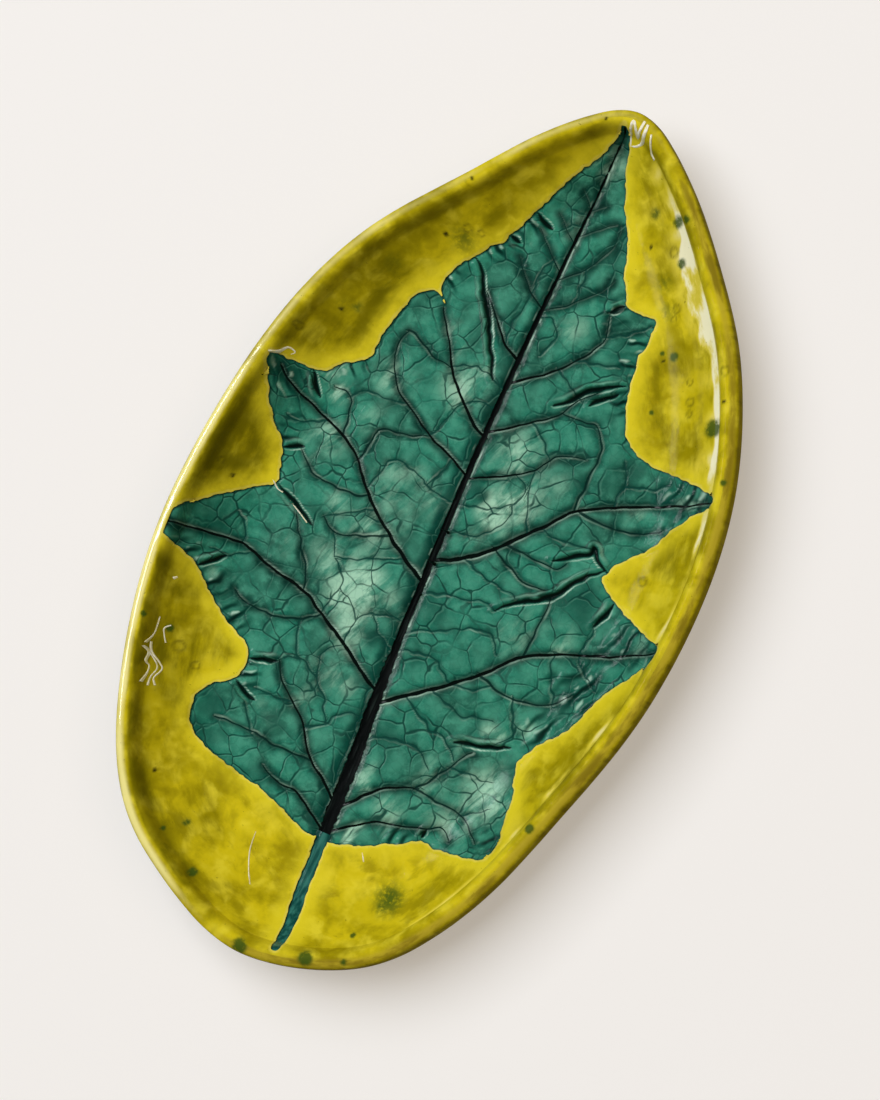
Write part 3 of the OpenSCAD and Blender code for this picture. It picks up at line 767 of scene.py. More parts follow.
def yellow_glaze():
    glaze = Finish("yellow_glaze")
    where = glaze.where
    cloud = glaze.grain(where, 24, 6, 0.62)
    streak = glaze.grain(glaze.value("lay", "Vector"), 9, 5, 0.6)
    puddle = glaze.grain(where, 8, 3, 0.5, 0.35)
    runs = glaze.grain(glaze.value("drip", "Vector"), 6, 4, 0.6)
    outside = glaze.value("outside")
    lip = glaze.value("lip")
    gap = glaze.value("leaf_gap")
    glaze.colour = glaze.blend(glaze.ramp(cloud, 0.36, 0.62), (0.34, 0.276, 0.003), (0.62, 0.502, 0.008))
    glaze.shade(puddle, 0.45, 0.74, 0.75, (0.76, 0.64, 0.035))
    glaze.shade(puddle, 0.46, 0.26, 0.4, (0.16, 0.128, 0.001))
    glaze.shade(streak, 0.47, 0.34, 0.5, (0.21, 0.168, 0.001))
    # thick runs on the outside, and painted shade over the whole outside
    glaze.paint(glaze.times(glaze.ramp(runs, 0.5, 0.68, 0.0, 0.8), outside), (0.15, 0.12, 0.002))
    glaze.shade(outside, 0.5, 1.0, 0.75, (0.13, 0.095, 0.003))
    # olive glaze and painted shade, and a painted highlight on the right wall
    olive_and_shade = glaze.times(glaze.value("olive_and_shade"), glaze.ramp(streak, 0.38, 0.60, 1.15, 0.6))
    glaze.shade(olive_and_shade, 0.0, 1.0, 0.88, (0.130, 0.112, 0.001))
    highlight = glaze.times(glaze.value("painted_highlight"), glaze.ramp(streak, 0.34, 0.56, 0.4, 1.2))
    glaze.shade(highlight, 0.02, 0.55, 0.85, (0.80, 0.66, 0.06))
    glaze.shade(highlight, 0.36, 1.05, 1.0, (0.96, 0.91, 0.60))
    # painted highlight on the lip towards the light, painted shade with streaks on the lip across from it
    glaze.shade(lip, 0.1, 0.8, 0.95, (0.95, 0.85, 0.30))
    tan = glaze.ramp(glaze.value("tan"), 0.2, 0.9, 0.0, 0.8)
    glaze.paint(tan, (0.47, 0.36, 0.025))
    glaze.paint(glaze.times(tan, glaze.ramp(streak, 0.52, 0.38)), (0.20, 0.145, 0.006))
    # brighter beside the leaf
    patchy = glaze.ramp(cloud, 0.3, 0.6, 0.35, 1.0)
    glaze.paint(glaze.times(glaze.ramp(gap, 9.0, 0.5, 0.0, 0.9), patchy), (0.72, 0.598, 0.02))
    glaze.paint(glaze.times(glaze.ramp(gap, 1.2, 0.2, 0.0, 0.5), patchy), (0.78, 0.68, 0.15))
    # copper marks, dots, burst bubbles and specks
    ragged_edge = glaze.ramp(glaze.grain(where, 1.8, 3), 0.2, 0.6, 0.6, 1.2)
    glaze.shade(glaze.times(glaze.value("copper"), ragged_edge), 0.15, 0.75, 0.92, (0.040, 0.085, 0.008))
    glaze.paint(glaze.value("dots"), (0.03, 0.028, 0.004))
    glaze.paint(glaze.times(glaze.value("ring"), 0.6), (0.10, 0.085, 0.004))
    glaze.shade(glaze.grain(where, 1.3, 2), 0.70, 0.78, 0.55, (0.12, 0.10, 0.003))
    glaze.shader.inputs["IOR"].default_value = GLASS
    gloss = glaze.times(glaze.ramp(lip, 0.05, 0.6, 0.03, 0.85), glaze.ramp(outside, 0.15, 0.7, 1.0, 0.08))
    ripple = glaze.bump(puddle, 0.16)
    skin = glaze.bump(glaze.grain(where, 2.4, 3), 0.05, ripple)
    return glaze.done(glaze.ramp(outside, 0.4, 1.0, 0.11, 0.5), gloss, skin)


def leaf_glaze():
    glaze = Finish("leaf_glaze")
    where = glaze.where
    cloud = glaze.grain(where, 19, 5, 0.6)
    fine_cloud = glaze.grain(where, 5.0, 5, 0.62)
    curly = glaze.bent(12, 7)
    net = glaze.net(curly, NET_CELL)
    small_net = glaze.net(glaze.bent(4, 1.8), SMALL_NET_CELL)
    near = glaze.value("near")
    glaze.colour = glaze.blend(glaze.ramp(cloud, 0.38, 0.60), (0.001, 0.030, 0.020), (0.010, 0.170, 0.108))
    glaze.shade(fine_cloud, 0.44, 0.76, 0.75, (0.085, 0.370, 0.244))
    glaze.shade(fine_cloud, 0.50, 0.26, 0.85, (0.001, 0.028, 0.020))
    # lighter in the middle of the cells and darker near the veins: partly glaze breaking and pooling, partly
    # painted light and shade of the swollen cells
    glaze.shade(net, 0.05, 0.42, 0.58, (0.070, 0.325, 0.215))
    glaze.shade(near, 0.6, 5.5, 0.38, (0.045, 0.265, 0.170))
    glaze.shade(near, 3.8, 0.3, 0.88, (0.001, 0.022, 0.015))
    # brushed pale patches, partly glaze broken pale and partly painted sheen; dark patches, with painted
    # shade beside the midrib and on the crumples' flanks
    brushed = glaze.grain(glaze.stretched((3, 1, 1), "TEXTURE", 65), 4.5, 4, 0.6, 0.4)
    pale_and_sheen = glaze.times(glaze.value("pale_and_sheen"), glaze.ramp(cloud, 0.3, 0.65, 0.6, 1.25))
    pale_and_sheen = glaze.times(pale_and_sheen, glaze.ramp(brushed, 0.36, 0.60, 0.35, 1.25))
    glaze.shade(pale_and_sheen, 0.05, 1.0, 0.92, (0.38, 0.66, 0.47))
    glaze.shade(glaze.value("dark_and_shade"), 0.1, 1.0, 0.88, (0.001, 0.044, 0.030))
    # the net of the smallest veins, each with a painted highlight along one edge
    seen = glaze.ramp(glaze.grain(where, 13, 2), 0.40, 0.58, 0.3, 0.9)
    beside_net = glaze.add("VectorMath")
    beside_net.inputs[1].default_value = (-0.55 * MM, 0.4 * MM, 0)
    glaze.wire(beside_net.inputs[0], curly)
    net_highlight = glaze.ramp(glaze.net(beside_net.outputs[0], NET_CELL), 0.04, 0.012, 0.0, 0.22)
    glaze.paint(glaze.times(net_highlight, seen), (0.14, 0.40, 0.28))
    small_line = glaze.ramp(small_net, 0.09, 0.02)
    glaze.paint(glaze.times(small_line, 0.12), (0.004, 0.065, 0.044))
    net_line = glaze.times(glaze.ramp(net, 0.045, 0.012), seen)
    glaze.paint(net_line, (0.003, 0.044, 0.031))
    # the veins and folds, and painted highlights on their edges
    glaze.shade(glaze.value("glow"), 0.05, 1.0, 0.95, (0.46, 0.68, 0.53))
    fine = glaze.vein("fine", 0.65, 1.35)
    branch = glaze.vein("branch", 0.75, 1.25)
    side = glaze.vein("side", 0.8, 1.2)
    glaze.paint(glaze.times(fine, 0.85), (0.003, 0.046, 0.034))
    glaze.paint(glaze.times(branch, 0.92), (0.001, 0.020, 0.015))
    glaze.paint(side, glaze.blend(glaze.value("bold"), (0.002, 0.030, 0.022), (0.001, 0.004, 0.003)))
    # dark fold creases, with painted shadow beside their ridges and painted shade on the crumples
    glaze.shade(glaze.value("fold"), 0.25, 0.9, 1.0, (0.001, 0.008, 0.006))
    glaze.shade(glaze.value("margin_gap"), 0.9, 0.1, 0.6, (0.002, 0.026, 0.020))
    glaze.shader.inputs["IOR"].default_value = GLASS
    groove = glaze.combine("MAXIMUM", side, branch)
    for line, depth in ((fine, 0.7), (net_line, 0.45), (small_line, 0.2)):
        groove = glaze.combine("MAXIMUM", groove, glaze.times(line, depth))
    deep = glaze.bump(glaze.combine("SUBTRACT", 1.0, groove), 0.12)
    return glaze.done(0.2, 0.12, glaze.bump(fine_cloud, 0.06, deep))


def vein_glaze():
    glaze = Finish("vein_glaze")
    fibre = glaze.grain(glaze.stretched((1, 0.06, 1)), 0.9, 3)
    # lighter along some of the fibres
    lighter_fibres = glaze.ramp(fibre, 0.5, 0.8, 0.0, 0.6)
    glaze.colour = glaze.blend(lighter_fibres, (0.001, 0.002, 0.002), (0.018, 0.032, 0.026))
    return glaze.done(0.4, 0.1, glaze.bump(fibre, 0.12))


def stem_glaze():
    glaze = Finish("stem_glaze")
    fibre = glaze.grain(glaze.stretched((1, 0.12, 1)), 1.6, 3)
    glaze.colour = glaze.blend(glaze.ramp(fibre, 0.35, 0.7), (0.003, 0.060, 0.050), (0.030, 0.170, 0.135))
    glaze.shade(glaze.value("edge"), 0.55, 1.0, 0.85, (0.002, 0.028, 0.024))
    return glaze.done(0.16, 0.4, glaze.bump(fibre, 0.12))


def run_highlight():
    # near-white paint on the runs stands in for the highlights on them
    glaze = Finish("run_highlight")
    streak = glaze.grain(glaze.where, 1.6, 3)
    glaze.colour = glaze.blend(glaze.ramp(streak, 0.35, 0.65), (0.90, 0.83, 0.50), (0.97, 0.95, 0.82))
    return glaze.done(0.1, 0.5, glaze.bump(streak, 0.1))


def bare_clay():
    clay = Finish("bare_clay")
    cloud = clay.grain(clay.where, 20, 4)
    grit = clay.grain(clay.where, 0.9, 3)
    clay.colour = clay.blend(clay.ramp(cloud, 0.35, 0.65), (0.44, 0.28, 0.16), (0.58, 0.39, 0.24))
    clay.shade(grit, 0.62, 0.72, 0.7, (0.22, 0.12, 0.06))
    return clay.done(0.85, 0.5, clay.bump(grit, 0.25))


# Pieces
def wall_outside(w):
    """Height of the glaze on the outside of the wall"""
    return OUTSIDE_LOW + OUTSIDE_RISE * ((OUTSIDE_END - w) / OUTSIDE_RUN) ** 2


def rolled_plan(around, w):
    """Plan points at a share of the way round the tray and a distance inwards from the outside of the rim"""
    closed = np.vstack([RIM, RIM[:1]])
    station = around * len(RIM)
    rim = np.column_stack([np.interp(station, np.arange(len(closed)), closed[:, k]) for k in (0, 1)])
    lean = -rim * (1, 1 - SPINE_LEAN)
    lean /= np.linalg.norm(lean, axis=1)[:, None]
    return rim + lean * w[:, None]


def close_seam(apart, fill_middle=False):
    """Joins the two ends of a sheet that was rolled round, and turns its faces outwards"""
    bpy.ops.object.mode_set(mode="EDIT")
    bpy.ops.mesh.select_all(action="SELECT")
    bpy.ops.mesh.remove_doubles(threshold=apart)
    if fill_middle:
        bpy.ops.mesh.select_all(action="DESELECT")
        bpy.ops.mesh.select_mode(type="EDGE")
        bpy.ops.mesh.select_non_manifold()
        bpy.ops.mesh.fill_holes(sides=0)
        bpy.ops.mesh.select_all(action="SELECT")
    bpy.ops.mesh.normals_make_consistent(inside=False)
    bpy.ops.object.mode_set(mode="OBJECT")


def rolled_sheet(name, stations, ring_w, ring_z):
    """A sheet rolled round the tray, with a ring at each distance inwards from the outside of the rim"""
    last = len(ring_w) - 1
    coat, around, across = new_sheet(name, stations, last)
    row = np.round(across * last).astype(int)
    w = ring_w[row]
    write_spots(coat, np.column_stack([rolled_plan(around, w), ring_z[row]]))
    set_value(coat, "w", w)
    set_value(coat, "row", row)
    # the places that the glaze's streaks round the tray and its runs down the outside are drawn on
    turn = around * 2 * math.pi
    ring = RING_REACH * np.column_stack([np.cos(turn), np.sin(turn)])
    set_place(coat, "lay", np.column_stack([ring * 0.35, w * 1.2]) * MM)
    set_place(coat, "drip", np.column_stack([ring * 1.1, w * 0.2]) * MM)
    close_seam(SEAM)
    if max(coat.data.polygons, key=lambda face: face.center.z).normal.z < 0:
        bpy.ops.object.mode_set(mode="EDIT")
        bpy.ops.mesh.flip_normals()
        bpy.ops.object.mode_set(mode="OBJECT")
    return coat


def clear_of_leaf(xy):
    """Distance of the yellow glaze from the leaf and the stem; negative over them"""
    return -np.minimum(np.maximum(inside_leaf(xy), inside_stem(xy)), inwards(xy) - LIP_W - 0.7)


def lay_coat(coat, height, inner_rows):
    """Opens the coat over the leaf and the stem, and gives it its relief and its glaze's values"""
    spots = read_spots(coat)
    inside = read_value(coat, "row") < inner_rows
    gap = np.full(len(spots), FAR)
    gap[inside] = clear_of_leaf(spots[inside, :2])
    drop_vertices(coat, gap < -0.45)
    spots = read_spots(coat)
    row = read_value(coat, "row")
    w = read_value(coat, "w")
    inside = row < inner_rows
    hole = edge_vertices(coat) & inside & (row > 0)
    hole[hole] = np.abs(clear_of_leaf(spots[hole, :2])) < 1.5
    spots[hole, :2] = pull_to_edge(spots[hole, :2], clear_of_leaf)
    xy = spots[:, :2]
    w[hole] = inwards(xy[hole])
    spots[hole, 2] = height(w[hole])
    gap = np.full(len(spots), FAR)
    gap[inside] = np.clip(clear_of_leaf(xy[inside]), 0, FAR)
    rise = 0.30 * bell(gap, 3.2) - 0.40 * np.exp(-gap / 0.5)
    rings = np.zeros(len(spots))
    for x, y, reach in BUBBLES:
        away = np.hypot(xy[:, 0] - x + OUTLINE_SHIFT, xy[:, 1] - y)
        ring = bell(away, 0.3 * reach, reach) * inside
        rings = np.maximum(rings, ring)
        rise += (0.12 * ring - 0.2 * bell(away, 0.6 * reach)) * inside
    lift = (hand_wave(xy, w) + rise) * np.where(inside, 1.0, 0.35)
    below_lip = smooth_step(LIP_TOP - spots[:, 2], 0.0, 0.8)
    spots[:, 2] += np.where(lift > 0, lift * below_lip, lift)
    spots[:, 2] = np.minimum(spots[:, 2], LIP_TOP - 0.02)
    set_value(coat, "leaf_gap", gap)
    set_value(coat, "outside", smooth_step(row, inner_rows - 2, inner_rows + 8))
    set_value(coat, "ring", rings)
    lit = towards_light(xy)
    # painted highlight on the lip on the light's side, and painted shade on the lip across from it
    lip = bell(w, 1.8, 2.8) * (spots[:, 2] > LIP_TOP - 4)
    facing_light = smooth_step(lit, -0.3, 0.5) * (1 - 0.5 * smooth_step(xy[:, 1], 10, 70))
    set_value(coat, "lip", lip * facing_light * (0.8 + 0.6 * wobble(xy, 18, 24)))
    set_value(coat, "tan", lip * smooth_step(lit, 0.2, -0.5) * (0.9 + 0.4 * wobble(xy, 18, 25)))
    set_value(coat, "painted_highlight", painted_highlight_share(xy, w, lit) * inside)
    set_value(coat, "copper", patches(xy, COPPER_MARKS) * (row < inner_rows + 6))
    dots = patches(xy, [(x, y, reach, 1.0) for x, y, reach in DARK_DOTS]) * inside
    set_value(coat, "dots", smooth_step(dots, 0.3, 0.8))
    # olive glaze, and painted shade on the wall and inner lip on the light's side, which face away from it
    set_value(coat, "olive_and_shade", olive_and_shade_share(xy, w, lit, ~inside))
    write_spots(coat, spots * MM)
    thicken(coat, COAT)


def painted_highlight_share(xy, w, lit):
    """Where a highlight is painted on the yellow glaze: in a band inside the crease on the right, and in
    marks beside it
    """
    wide = np.interp(xy[:, 1], *zip(*HIGHLIGHT_BAND)) * (1 + 0.6 * wobble(xy, 9, 26))
    band = smooth_step(wide - w + EDGE_W, -0.8, 0.8) * smooth_step(lit, 0.1, -0.3)
    band *= np.clip(smooth_step(xy[:, 1], 20, 50) + 0.35 + 0.7 * wobble(xy, 13, 32), 0, 1)
    marks = 0.62 * patches(wander(xy, 9, 2.5, 27), HIGHLIGHT_MARKS)
    return np.maximum(marks, band) * smooth_step(w, EDGE_W - 0.2, EDGE_W + 0.1)


def olive_and_shade_share(xy, w, lit, outside):
    """Where the yellow glaze is darkened to olive: painted shade on the upper left wall, low on the wall and
    under the rim on the light's side, and olive glaze at the round end, through the middle and on the outside
    """
    y = xy[:, 1]
    upper_left = smooth_step(-xy[:, 0] + 0.25 * y, 10, 70) * smooth_step(y, -60, 60)
    upper_left *= smooth_step(w, 44, 22) * smooth_step(w, 5, 12)
    round_end = smooth_step(-y, 60, 140) * smooth_step(w, 40, 20) * smooth_step(w, 6, 12)
    far = smooth_step(lit, 0.2, 0.9) * smooth_step(w, 36, 14) * smooth_step(w, 5, 9)
    far *= 1 - 0.6 * smooth_step(y, 0, 50)
    under = smooth_step(w, 4.8, 6.5) * smooth_step(w, 15, 9) * smooth_step(lit, -0.2, 0.5)
    under *= 1 - 0.55 * smooth_step(y, 0, 50)
    middle = 0.45 * smooth_step(y, -125, -60) * smooth_step(y, 125, 70) * smooth_step(w, 5, 9)
    share = np.maximum.reduce([
        upper_left * (0.12 + 0.9 * wobble(xy, 13, 21)),
        0.45 * round_end * (0.5 + 0.9 * wobble(xy, 14, 22)),
        far * (0.55 + 1.2 * wobble(xy, 10, 28)),
        under * (0.85 + 0.6 * wobble(xy, 9, 29)),
        middle * (1 + wobble(xy, 17, 30)),
    ])
    return np.where(outside, 0.15 + 0.2 * wobble(xy, 15, 23), np.clip(share, 0, 1))


def well_coat():
    """The yellow glaze on the floor and the wall, round the leaf"""
    ring_w = np.append(np.linspace(54, 13, 56), np.linspace(12.5, EDGE_W, 11))
    coat = rolled_sheet("yellow_well", WELL_STATIONS, ring_w, wall_height(ring_w))
    lay_coat(coat, wall_height, len(ring_w))
    return coat


def rim_coat():
    """The yellow glaze from the crease inside the lip, over the lip and down the outside"""
    inner = np.append(EDGE_W + 0.8, np.linspace(EDGE_W, LIP_W, 12))
    over = curve_through([
        (LIP_W, LIP_TOP), (3.2, 31.88), (2.4, 31.67), (1.6, 31.4), (1.0, 30.9), (0.6, 29.8), (0.35, 28.2),
        (0.2, 26.2), (0.2, 24.2), (0.5, 22.3), (1.2, 20.7), (2.3, 19.9), (3.6, 19.75), (5.2, 19.1),
        (8, wall_outside(8)),
    ], 0.7)[1:]
    wall = np.linspace(9.5, 33.6, 14)
    ring_w = np.concatenate([inner, over[:, 0], wall])
    ring_z = np.concatenate([lip_height(inner), over[:, 1], wall_outside(wall)])
    ring_z[0] = wall_height(inner[0]) - 0.7
    coat = rolled_sheet("yellow_rim", RIM_STATIONS, ring_w, ring_z)
    lay_coat(coat, lip_height, len(inner))
    return coat


def leaf_relief(piece, xy):
    """Heights of the leaf's veins, folds and swellings; also sets what its glaze is coloured by, painted
    highlights and shade among it
    """
    side_gap, side_of, side_half = SIDE_LINES.look(wander(xy, 5, 0.5, 61))
    branch_gap, branch_of, branch_half = BRANCH_LINES.look(wander(xy, 4.5, 0.8, 63))
    fine_gap, fine_of, fine_half = FINE_LINES.look(wander(xy, 4, 1.2, 65))
    fold_gap, fold_of, fold_half = FOLD_LINES.look(wander(xy, 4, 0.7, 67))
    mid_gap, mid_of = beside_midrib(xy)
    mid_gap = np.clip(mid_gap, 0, None)
    margin = inside_leaf(xy)
    uneven = 1 + 0.35 * wobble(xy, 2.2, 31)
    for name, gap, of, half in (
        ("side", side_gap, side_of, side_half), ("branch", branch_gap, branch_of, branch_half),
        ("fine", fine_gap, fine_of, fine_half),
    ):
        set_value(piece, name + "_side", np.clip(of * gap / (half * uneven), -9, 9))
        set_value(piece, name + "_gap", np.clip(gap - half, 0, 9))
    nearest = np.minimum.reduce([mid_gap, side_gap, branch_gap + 0.8, fine_gap + 1.6])
    swell = 0.42 * (1 - bell(nearest, 5.0))
    groove = 0.45 * bell(mid_gap, 1.3) + 0.55 * side_half * bell(side_gap, 1.1 * side_half + 0.5)
    groove += 0.35 * side_half * bell(side_gap, 2.6)
    groove += 0.35 * branch_half * bell(branch_gap, branch_half + 0.45)
    groove += 0.10 * bell(fine_gap, 0.55)
    lit = fold_of > 0
    fold_lip = 1.15 * fold_half * bell(fold_gap, 0.85, 1.5) * lit
    fold_cut = 0.8 * fold_half * bell(fold_gap, 0.8 * fold_half)
    crinkle, crest_highlight, shaded_flank = crumpled_skin(xy)
    puckered = bell(margin, 5) * smooth_step(wobble(xy, 22, 44), -0.25, 0.25)
    crinkle += 0.45 * wobble(xy, 3.4, 45) * puckered
    skin = 0.09 * wobble(xy, 4.5, 42)
    calm = smooth_step(margin, 0.1, 2.2)
    rise = calm * (swell + fold_lip + crinkle + skin - fold_cut) - groove * (0.4 + 0.6 * calm)
    set_value(piece, "near", np.clip(nearest, 0, 9))
    set_value(piece, "bold", smooth_step(side_half, 0.1, 0.4))
    set_value(piece, "pale_and_sheen", patches(wander(xy, 15, 7, 71), PALE_PATCHES))
    # painted shade in the valley left of the midrib, and on the crumples' flanks away from the light
    shaded = bell(mid_gap, 2.6, 2.6) * (mid_of > 0) * smooth_step(xy[:, 1], 110, 40)
    shaded = np.maximum(shaded * (0.75 + 0.5 * wobble(xy, 11, 34)), 1.1 * shaded_flank)
    set_value(piece, "dark_and_shade", np.maximum(patches(wander(xy, 13, 6, 73), DARK_PATCHES), shaded))
    side_edge = side_gap - side_half
    branch_edge = branch_gap - branch_half
    # painted highlights on the edges of the midrib, veins and folds where they catch the light, and on the
    # crumples' crests
    glow = np.maximum.reduce([
        0.95 * bell(mid_gap, 0.35, 0.4) * away_from_light(mid_of, 0.5),
        0.3 * bell(mid_gap, 2.4) * (mid_of < 0),
        0.8 * bell(side_edge, 0.45, 0.3) * away_from_light(side_of, 0.5) * (0.3 + side_half),
        0.5 * bell(side_edge, 2.4) * away_from_light(side_of, 0.6) * side_half,
        0.5 * bell(branch_edge, 0.5, 0.35) * away_from_light(branch_of, 0.5),
        0.45 * bell(fine_gap, 0.4, 0.8) * away_from_light(fine_of, 0.3),
        1.1 * fold_half * bell(fold_gap, 0.32, 1.05 * fold_half + 0.25) * ~lit,
        0.45 * fold_half * bell(fold_gap, 1.0, 2.3) * lit,
    ])
    glow *= 0.6 + 0.6 * wobble(xy, 7, 33)
    set_value(piece, "glow", np.clip(np.maximum(glow, 0.75 * crest_highlight), 0, 1))
    # dark crease along each fold, painted shadow beyond its ridge on the light's side, and painted shade on
    # the crumples' flanks
    crease = bell(fold_gap, 1.05 * fold_half)
    ridge_shadow = 0.55 * fold_half * bell(fold_gap, 0.7, 3.0) * lit
    set_value(piece, "fold", np.maximum.reduce([crease, ridge_shadow, 0.75 * shaded_flank ** 2]))
    set_value(piece, "margin_gap", np.clip(margin, 0, 9))
    return rise


def away_from_light(side, share):
    """1 on the side of a line where its edge catches the light, and a share of it on the other"""
    return np.where(side < 0, 1.0, share)


def crumpled_skin(xy):
    """Height of the crumpled skin near the ends of the lobes, and where to paint highlight on the lit side of
    its crests and shade on its flanks away from the light
    """
    crinkle, crest_highlight, shaded_flank = np.zeros((3, len(xy)))
    sway = 1.7 * wobble(xy, 6, 41) + 0.6 * wobble(xy, 3, 47)
    broken = smooth_step(wobble(xy, 4.5, 46), 0.1, 0.4)
    for x, y, reach, turn, height in CRUMPLES:
        off = xy - (x - OUTLINE_SHIFT, y)
        across = off @ (-math.sin(math.radians(turn)), math.cos(math.radians(turn)))
        swing = (across + sway) * 2 * math.pi / (3.2 + 0.26 * reach) + 2.2 * wobble(xy, 12, 43)
        near = np.exp(-((off ** 2).sum(1) / reach ** 2) ** 1.5)
        crinkle += height * (1.5 * (0.5 + 0.5 * np.sin(swing)) ** 1.6 - 0.5) * near
        crest_highlight = np.maximum(crest_highlight, (0.5 + 0.5 * np.sin(swing - 0.6)) ** 4 * near * broken)
        shaded_flank = np.maximum(shaded_flank, (0.5 + 0.5 * np.sin(swing + 1.4)) ** 1.5 * near)
    return crinkle, crest_highlight, shaded_flank


def leaf_half(name, side):
    """Half of the leaf glaze, from the midrib's edge to just under the yellow glaze at the margin"""
    margin = to_frame(LEAF_MARGIN)
    low, high = margin.min(0) - 2, margin.max(0) + 2
    centre = MIDRIB_LINE.spots[:, 0]
    if side > 0:
        high[0] = centre.max() + 1
    else:
        low[0] = centre.min() - 1
    columns, rows = np.round((high - low) / LEAF_STEP).astype(int)
    half, across, along = new_sheet(name, int(columns), int(rows))
    xy = low + np.column_stack([across, along]) * (high - low)
    write_spots(half, np.column_stack([xy, np.zeros(len(xy))]))

    def in_half(points):
        gap, of = beside_midrib(points)
        return np.where(of == side, gap, -np.abs(gap) - 0.3)

    on_clay = inwards(xy) - LIP_W
    kept = np.minimum.reduce([inside_leaf(xy) + UNDER_MARGIN, in_half(xy), on_clay])
    drop_vertices(half, kept < -0.5 * LEAF_STEP)
    spots = read_spots(half)
    xy = spots[:, :2]
    inner_edge = edge_vertices(half) & (in_half(xy) < 1.2) & (inside_leaf(xy) > 0)
    xy[inner_edge] = pull_to_edge(xy[inner_edge], lambda points: beside_midrib(points)[0])
    w = inwards(xy)
    rise = leaf_relief(half, xy)
    base = well_height(w) + hand_wave(xy, w)
    room = 0.9 * smooth_step(inside_leaf(xy), 0.8, 3.0) * smooth_step(w, LIP_W, CREASE_W) - 0.1
    z = np.minimum(base - LEAF_DROP + rise, base + room)
    write_spots(half, np.column_stack([xy, z]) * MM)
    thicken(half, COAT + 0.2)
    return half


def strip_piece(name, line, columns, extra, sink, dome):
    """A strip of glaze along a line: in a groove and a little wider than it, or a run that stands proud"""
    path = curve_through(to_frame(line), 0.5)
    strip, across, along = new_sheet(name, columns, len(path) - 1)
    row = np.round(along * (len(path) - 1)).astype(int)
    way = np.gradient(path[:, :2], axis=0)
    way /= np.linalg.norm(way, axis=1)[:, None]
    half = path[:, 2] / 2 + extra
    off = (across * 2 - 1) * half[row]
    xy = path[row, :2] + np.column_stack([way[row, 1], -way[row, 0]]) * off[:, None]
    w = inwards(xy)
    share = np.abs(across * 2 - 1)
    z = well_height(w) + hand_wave(xy, w) - sink - dome * share ** 2 + 0.1 * wobble(xy * (1, 0.2), 1.3, 51)
    if sink < 0:
        z += 0.5 * smooth_step(w, 10, 8)
    z = np.minimum(z, LIP_TOP - 0.03)
    set_value(strip, "edge", share)
    write_spots(strip, np.column_stack([xy, z]) * MM)
    thicken(strip, COAT)
    return strip


def glaze_runs():
    """Thin runs of thick glaze on the wall and the lip, which carry painted highlights"""
    runs = [strip_piece("run_" + str(k), path, 6, 0.0, -0.3, 0.55) for k, path in enumerate(GLAZE_RUNS)]
    deselect()
    for run in runs:
        run.select_set(True)
    bpy.context.view_layer.objects.active = runs[0]
    bpy.ops.object.join()
    runs[0].name = runs[0].data.name = "glaze_runs"
    return runs[0]


def clay_foot():
    """The bare clay under the tray: the floor's underside and the foot ring that it stands on"""
    last = len(FOOT_PROFILE) - 1
    foot, around, across = new_sheet("clay_foot", FOOT_STATIONS, last)
    ring_w, ring_z = np.array(FOOT_PROFILE)[np.round(across * last).astype(int)].T
    write_spots(foot, np.column_stack([rolled_plan(around, ring_w), ring_z]) * MM)
    close_seam(SEAM * MM, fill_middle=True)
    bpy.ops.object.shade_smooth_by_angle(angle=math.radians(40))
    return foot


yellow_material = yellow_glaze()
yellow_well = well_coat()
finish_piece(yellow_well, yellow_material, "yellow_glaze", "well_glaze")
yellow_rim = rim_coat()
finish_piece(yellow_rim, yellow_material, "yellow_glaze", "rim_glaze", "outer_glaze")
finish_piece(glaze_runs(), run_highlight(), "yellow_glaze")
leaf_material = leaf_glaze()
leaf_right = leaf_half("leaf_right", -1)
finish_piece(leaf_right, leaf_material, "leaf_glaze", "leaf_glaze", "side_vein_inlays")
leaf_left = leaf_half("leaf_left", 1)
finish_piece(leaf_left, leaf_material, "leaf_glaze", "branch_vein_inlays")
midrib = strip_piece("midrib", MIDRIB, 12, 0.7, LEAF_DROP + 1.25, -0.15)
finish_piece(midrib, vein_glaze(), "vein_glaze", "midrib_inlay")
stem = strip_piece("stem", STEM + [(10.9, -169, 3.6)], 14, 0.5, LEAF_DROP - 0.25, 0.45)
finish_piece(stem, stem_glaze(), "stem_glaze", "stem_glaze")
foot = clay_foot()
finish_piece(foot, bare_clay(), "clay", "slab_body", "rim_coil", "foot_ring")


# The stage: a pale floor that keeps the tray's shadow, soft light from the left, and the camera
def pale_floor():
    deselect()
    bpy.ops.mesh.primitive_plane_add(size=8)
    floor = bpy.context.object
    floor.name = "floor"
    paint = Finish("floor")
    paint.shader.inputs["Base Color"].default_value = (0.9, 0.9, 0.9, 1)
    paint.shader.inputs["Roughness"].default_value = 1.0
    paint.shader.inputs["Specular IOR Level"].default_value = 0.0
    glow = paint.add("Emission")
    glow.inputs["Color"].default_value = (0.94, 0.87, 0.775, 1)
    seen = paint.add("LightPath").outputs["Is Camera Ray"]
    mix = paint.add("MixShader")
    paint.wire(mix.inputs[0], paint.times(seen, 0.38))
    paint.wire(mix.inputs[1], paint.shader.outputs[0])
    paint.wire(mix.inputs[2], glow.outputs[0])
    paint.wire(paint.tree.nodes["Material Output"].inputs["Surface"], mix.outputs[0])
    floor.data.materials.append(paint.material)


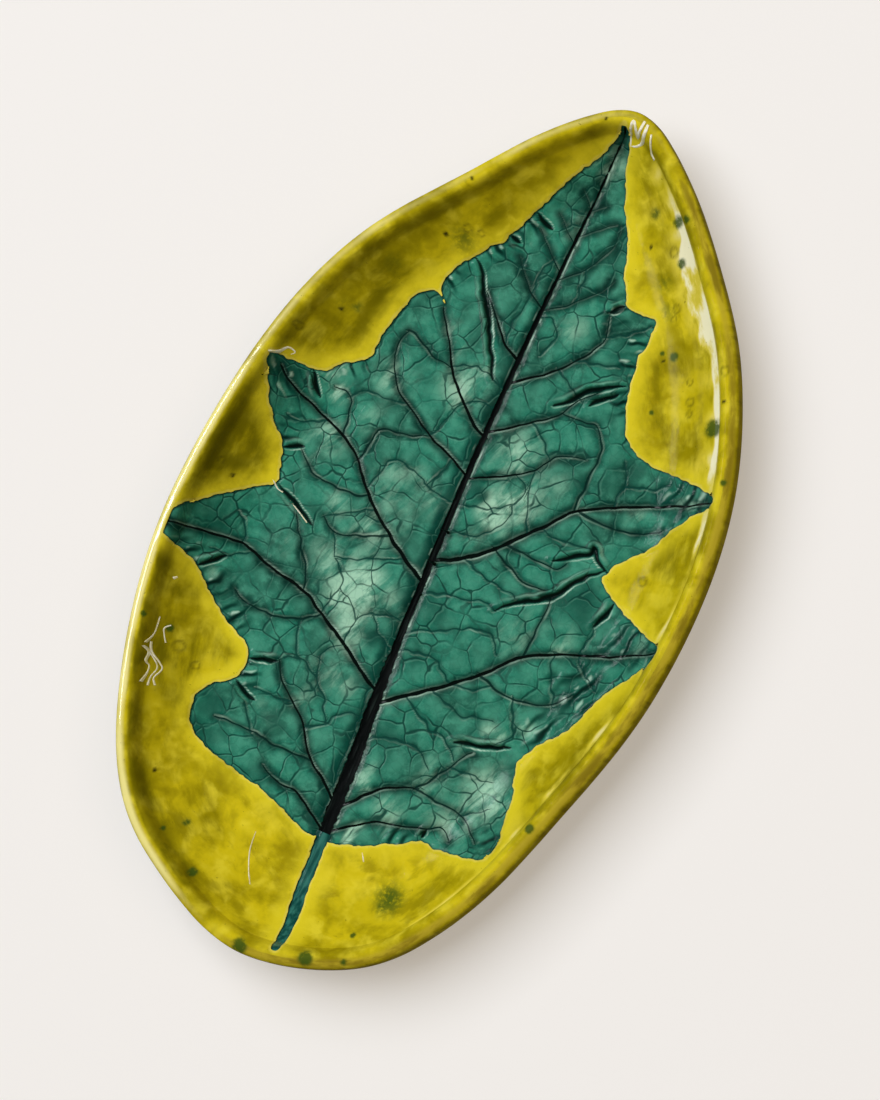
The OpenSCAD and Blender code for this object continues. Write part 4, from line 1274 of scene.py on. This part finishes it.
def soft_light(name, spot, size, power, tone, in_gloss):
    """A large lamp that lights the tray, or one that only shows in the gloss"""
    lamp = bpy.data.lights.new(name, "AREA")
    lamp.shape = "RECTANGLE"
    lamp.size, lamp.size_y = size
    lamp.energy = power
    lamp.color = tone
    body = bpy.data.objects.new(name, lamp)
    bpy.context.scene.collection.objects.link(body)
    body.location = spot
    body.rotation_euler = (Vector((0, 0, 0.015)) - Vector(spot)).to_track_quat("-Z", "Y").to_euler()
    body.visible_glossy = in_gloss
    body.visible_diffuse = not in_gloss


pale_floor()
soft_light("key", (-2.0, 0.9, 4.6), (4.4, 4.4), 275, (0.97, 1, 1.05), in_gloss=False)
soft_light("fill", (2.6, 1.2, 4.0), (2.4, 2.4), 36, (1, 0.78, 0.55), in_gloss=False)
soft_light("window", (-4.6, -0.4, 4.4), (2.4, 1.3), 125, (0.97, 1, 1.03), in_gloss=True)
soft_light("low_strip", (-4.8, -1.4, 0.8), (2.2, 0.9), 12, (1, 0.98, 0.94), in_gloss=True)
world = bpy.data.worlds.new("studio")
bpy.context.scene.world = world
world.use_nodes = True
world.node_tree.nodes["Background"].inputs["Color"].default_value = (1.0, 0.86, 0.70, 1)
world.node_tree.nodes["Background"].inputs["Strength"].default_value = 0.08

ROLL = math.radians(24)
TILT = math.radians(16)
DISTANCE = 1.045
AIM = Vector((0.0012, -0.0056, 0.016))
across = Vector((math.cos(TILT), 0, -math.sin(TILT)))
back = Vector((math.sin(TILT), 0, math.cos(TILT)))
right = math.cos(ROLL) * across + math.sin(ROLL) * Vector((0, 1, 0))
up = -math.sin(ROLL) * across + math.cos(ROLL) * Vector((0, 1, 0))
lens = bpy.data.cameras.new("camera")
lens.sensor_fit = "VERTICAL"
lens.sensor_height = 36
lens.lens = 90
camera = bpy.data.objects.new("camera", lens)
bpy.context.scene.collection.objects.link(camera)
turned = Matrix((right, up, back)).transposed().to_4x4()
camera.matrix_world = Matrix.Translation(AIM + DISTANCE * back) @ turned
bpy.context.scene.camera = camera
bpy.context.scene.view_settings.view_transform = "Standard"
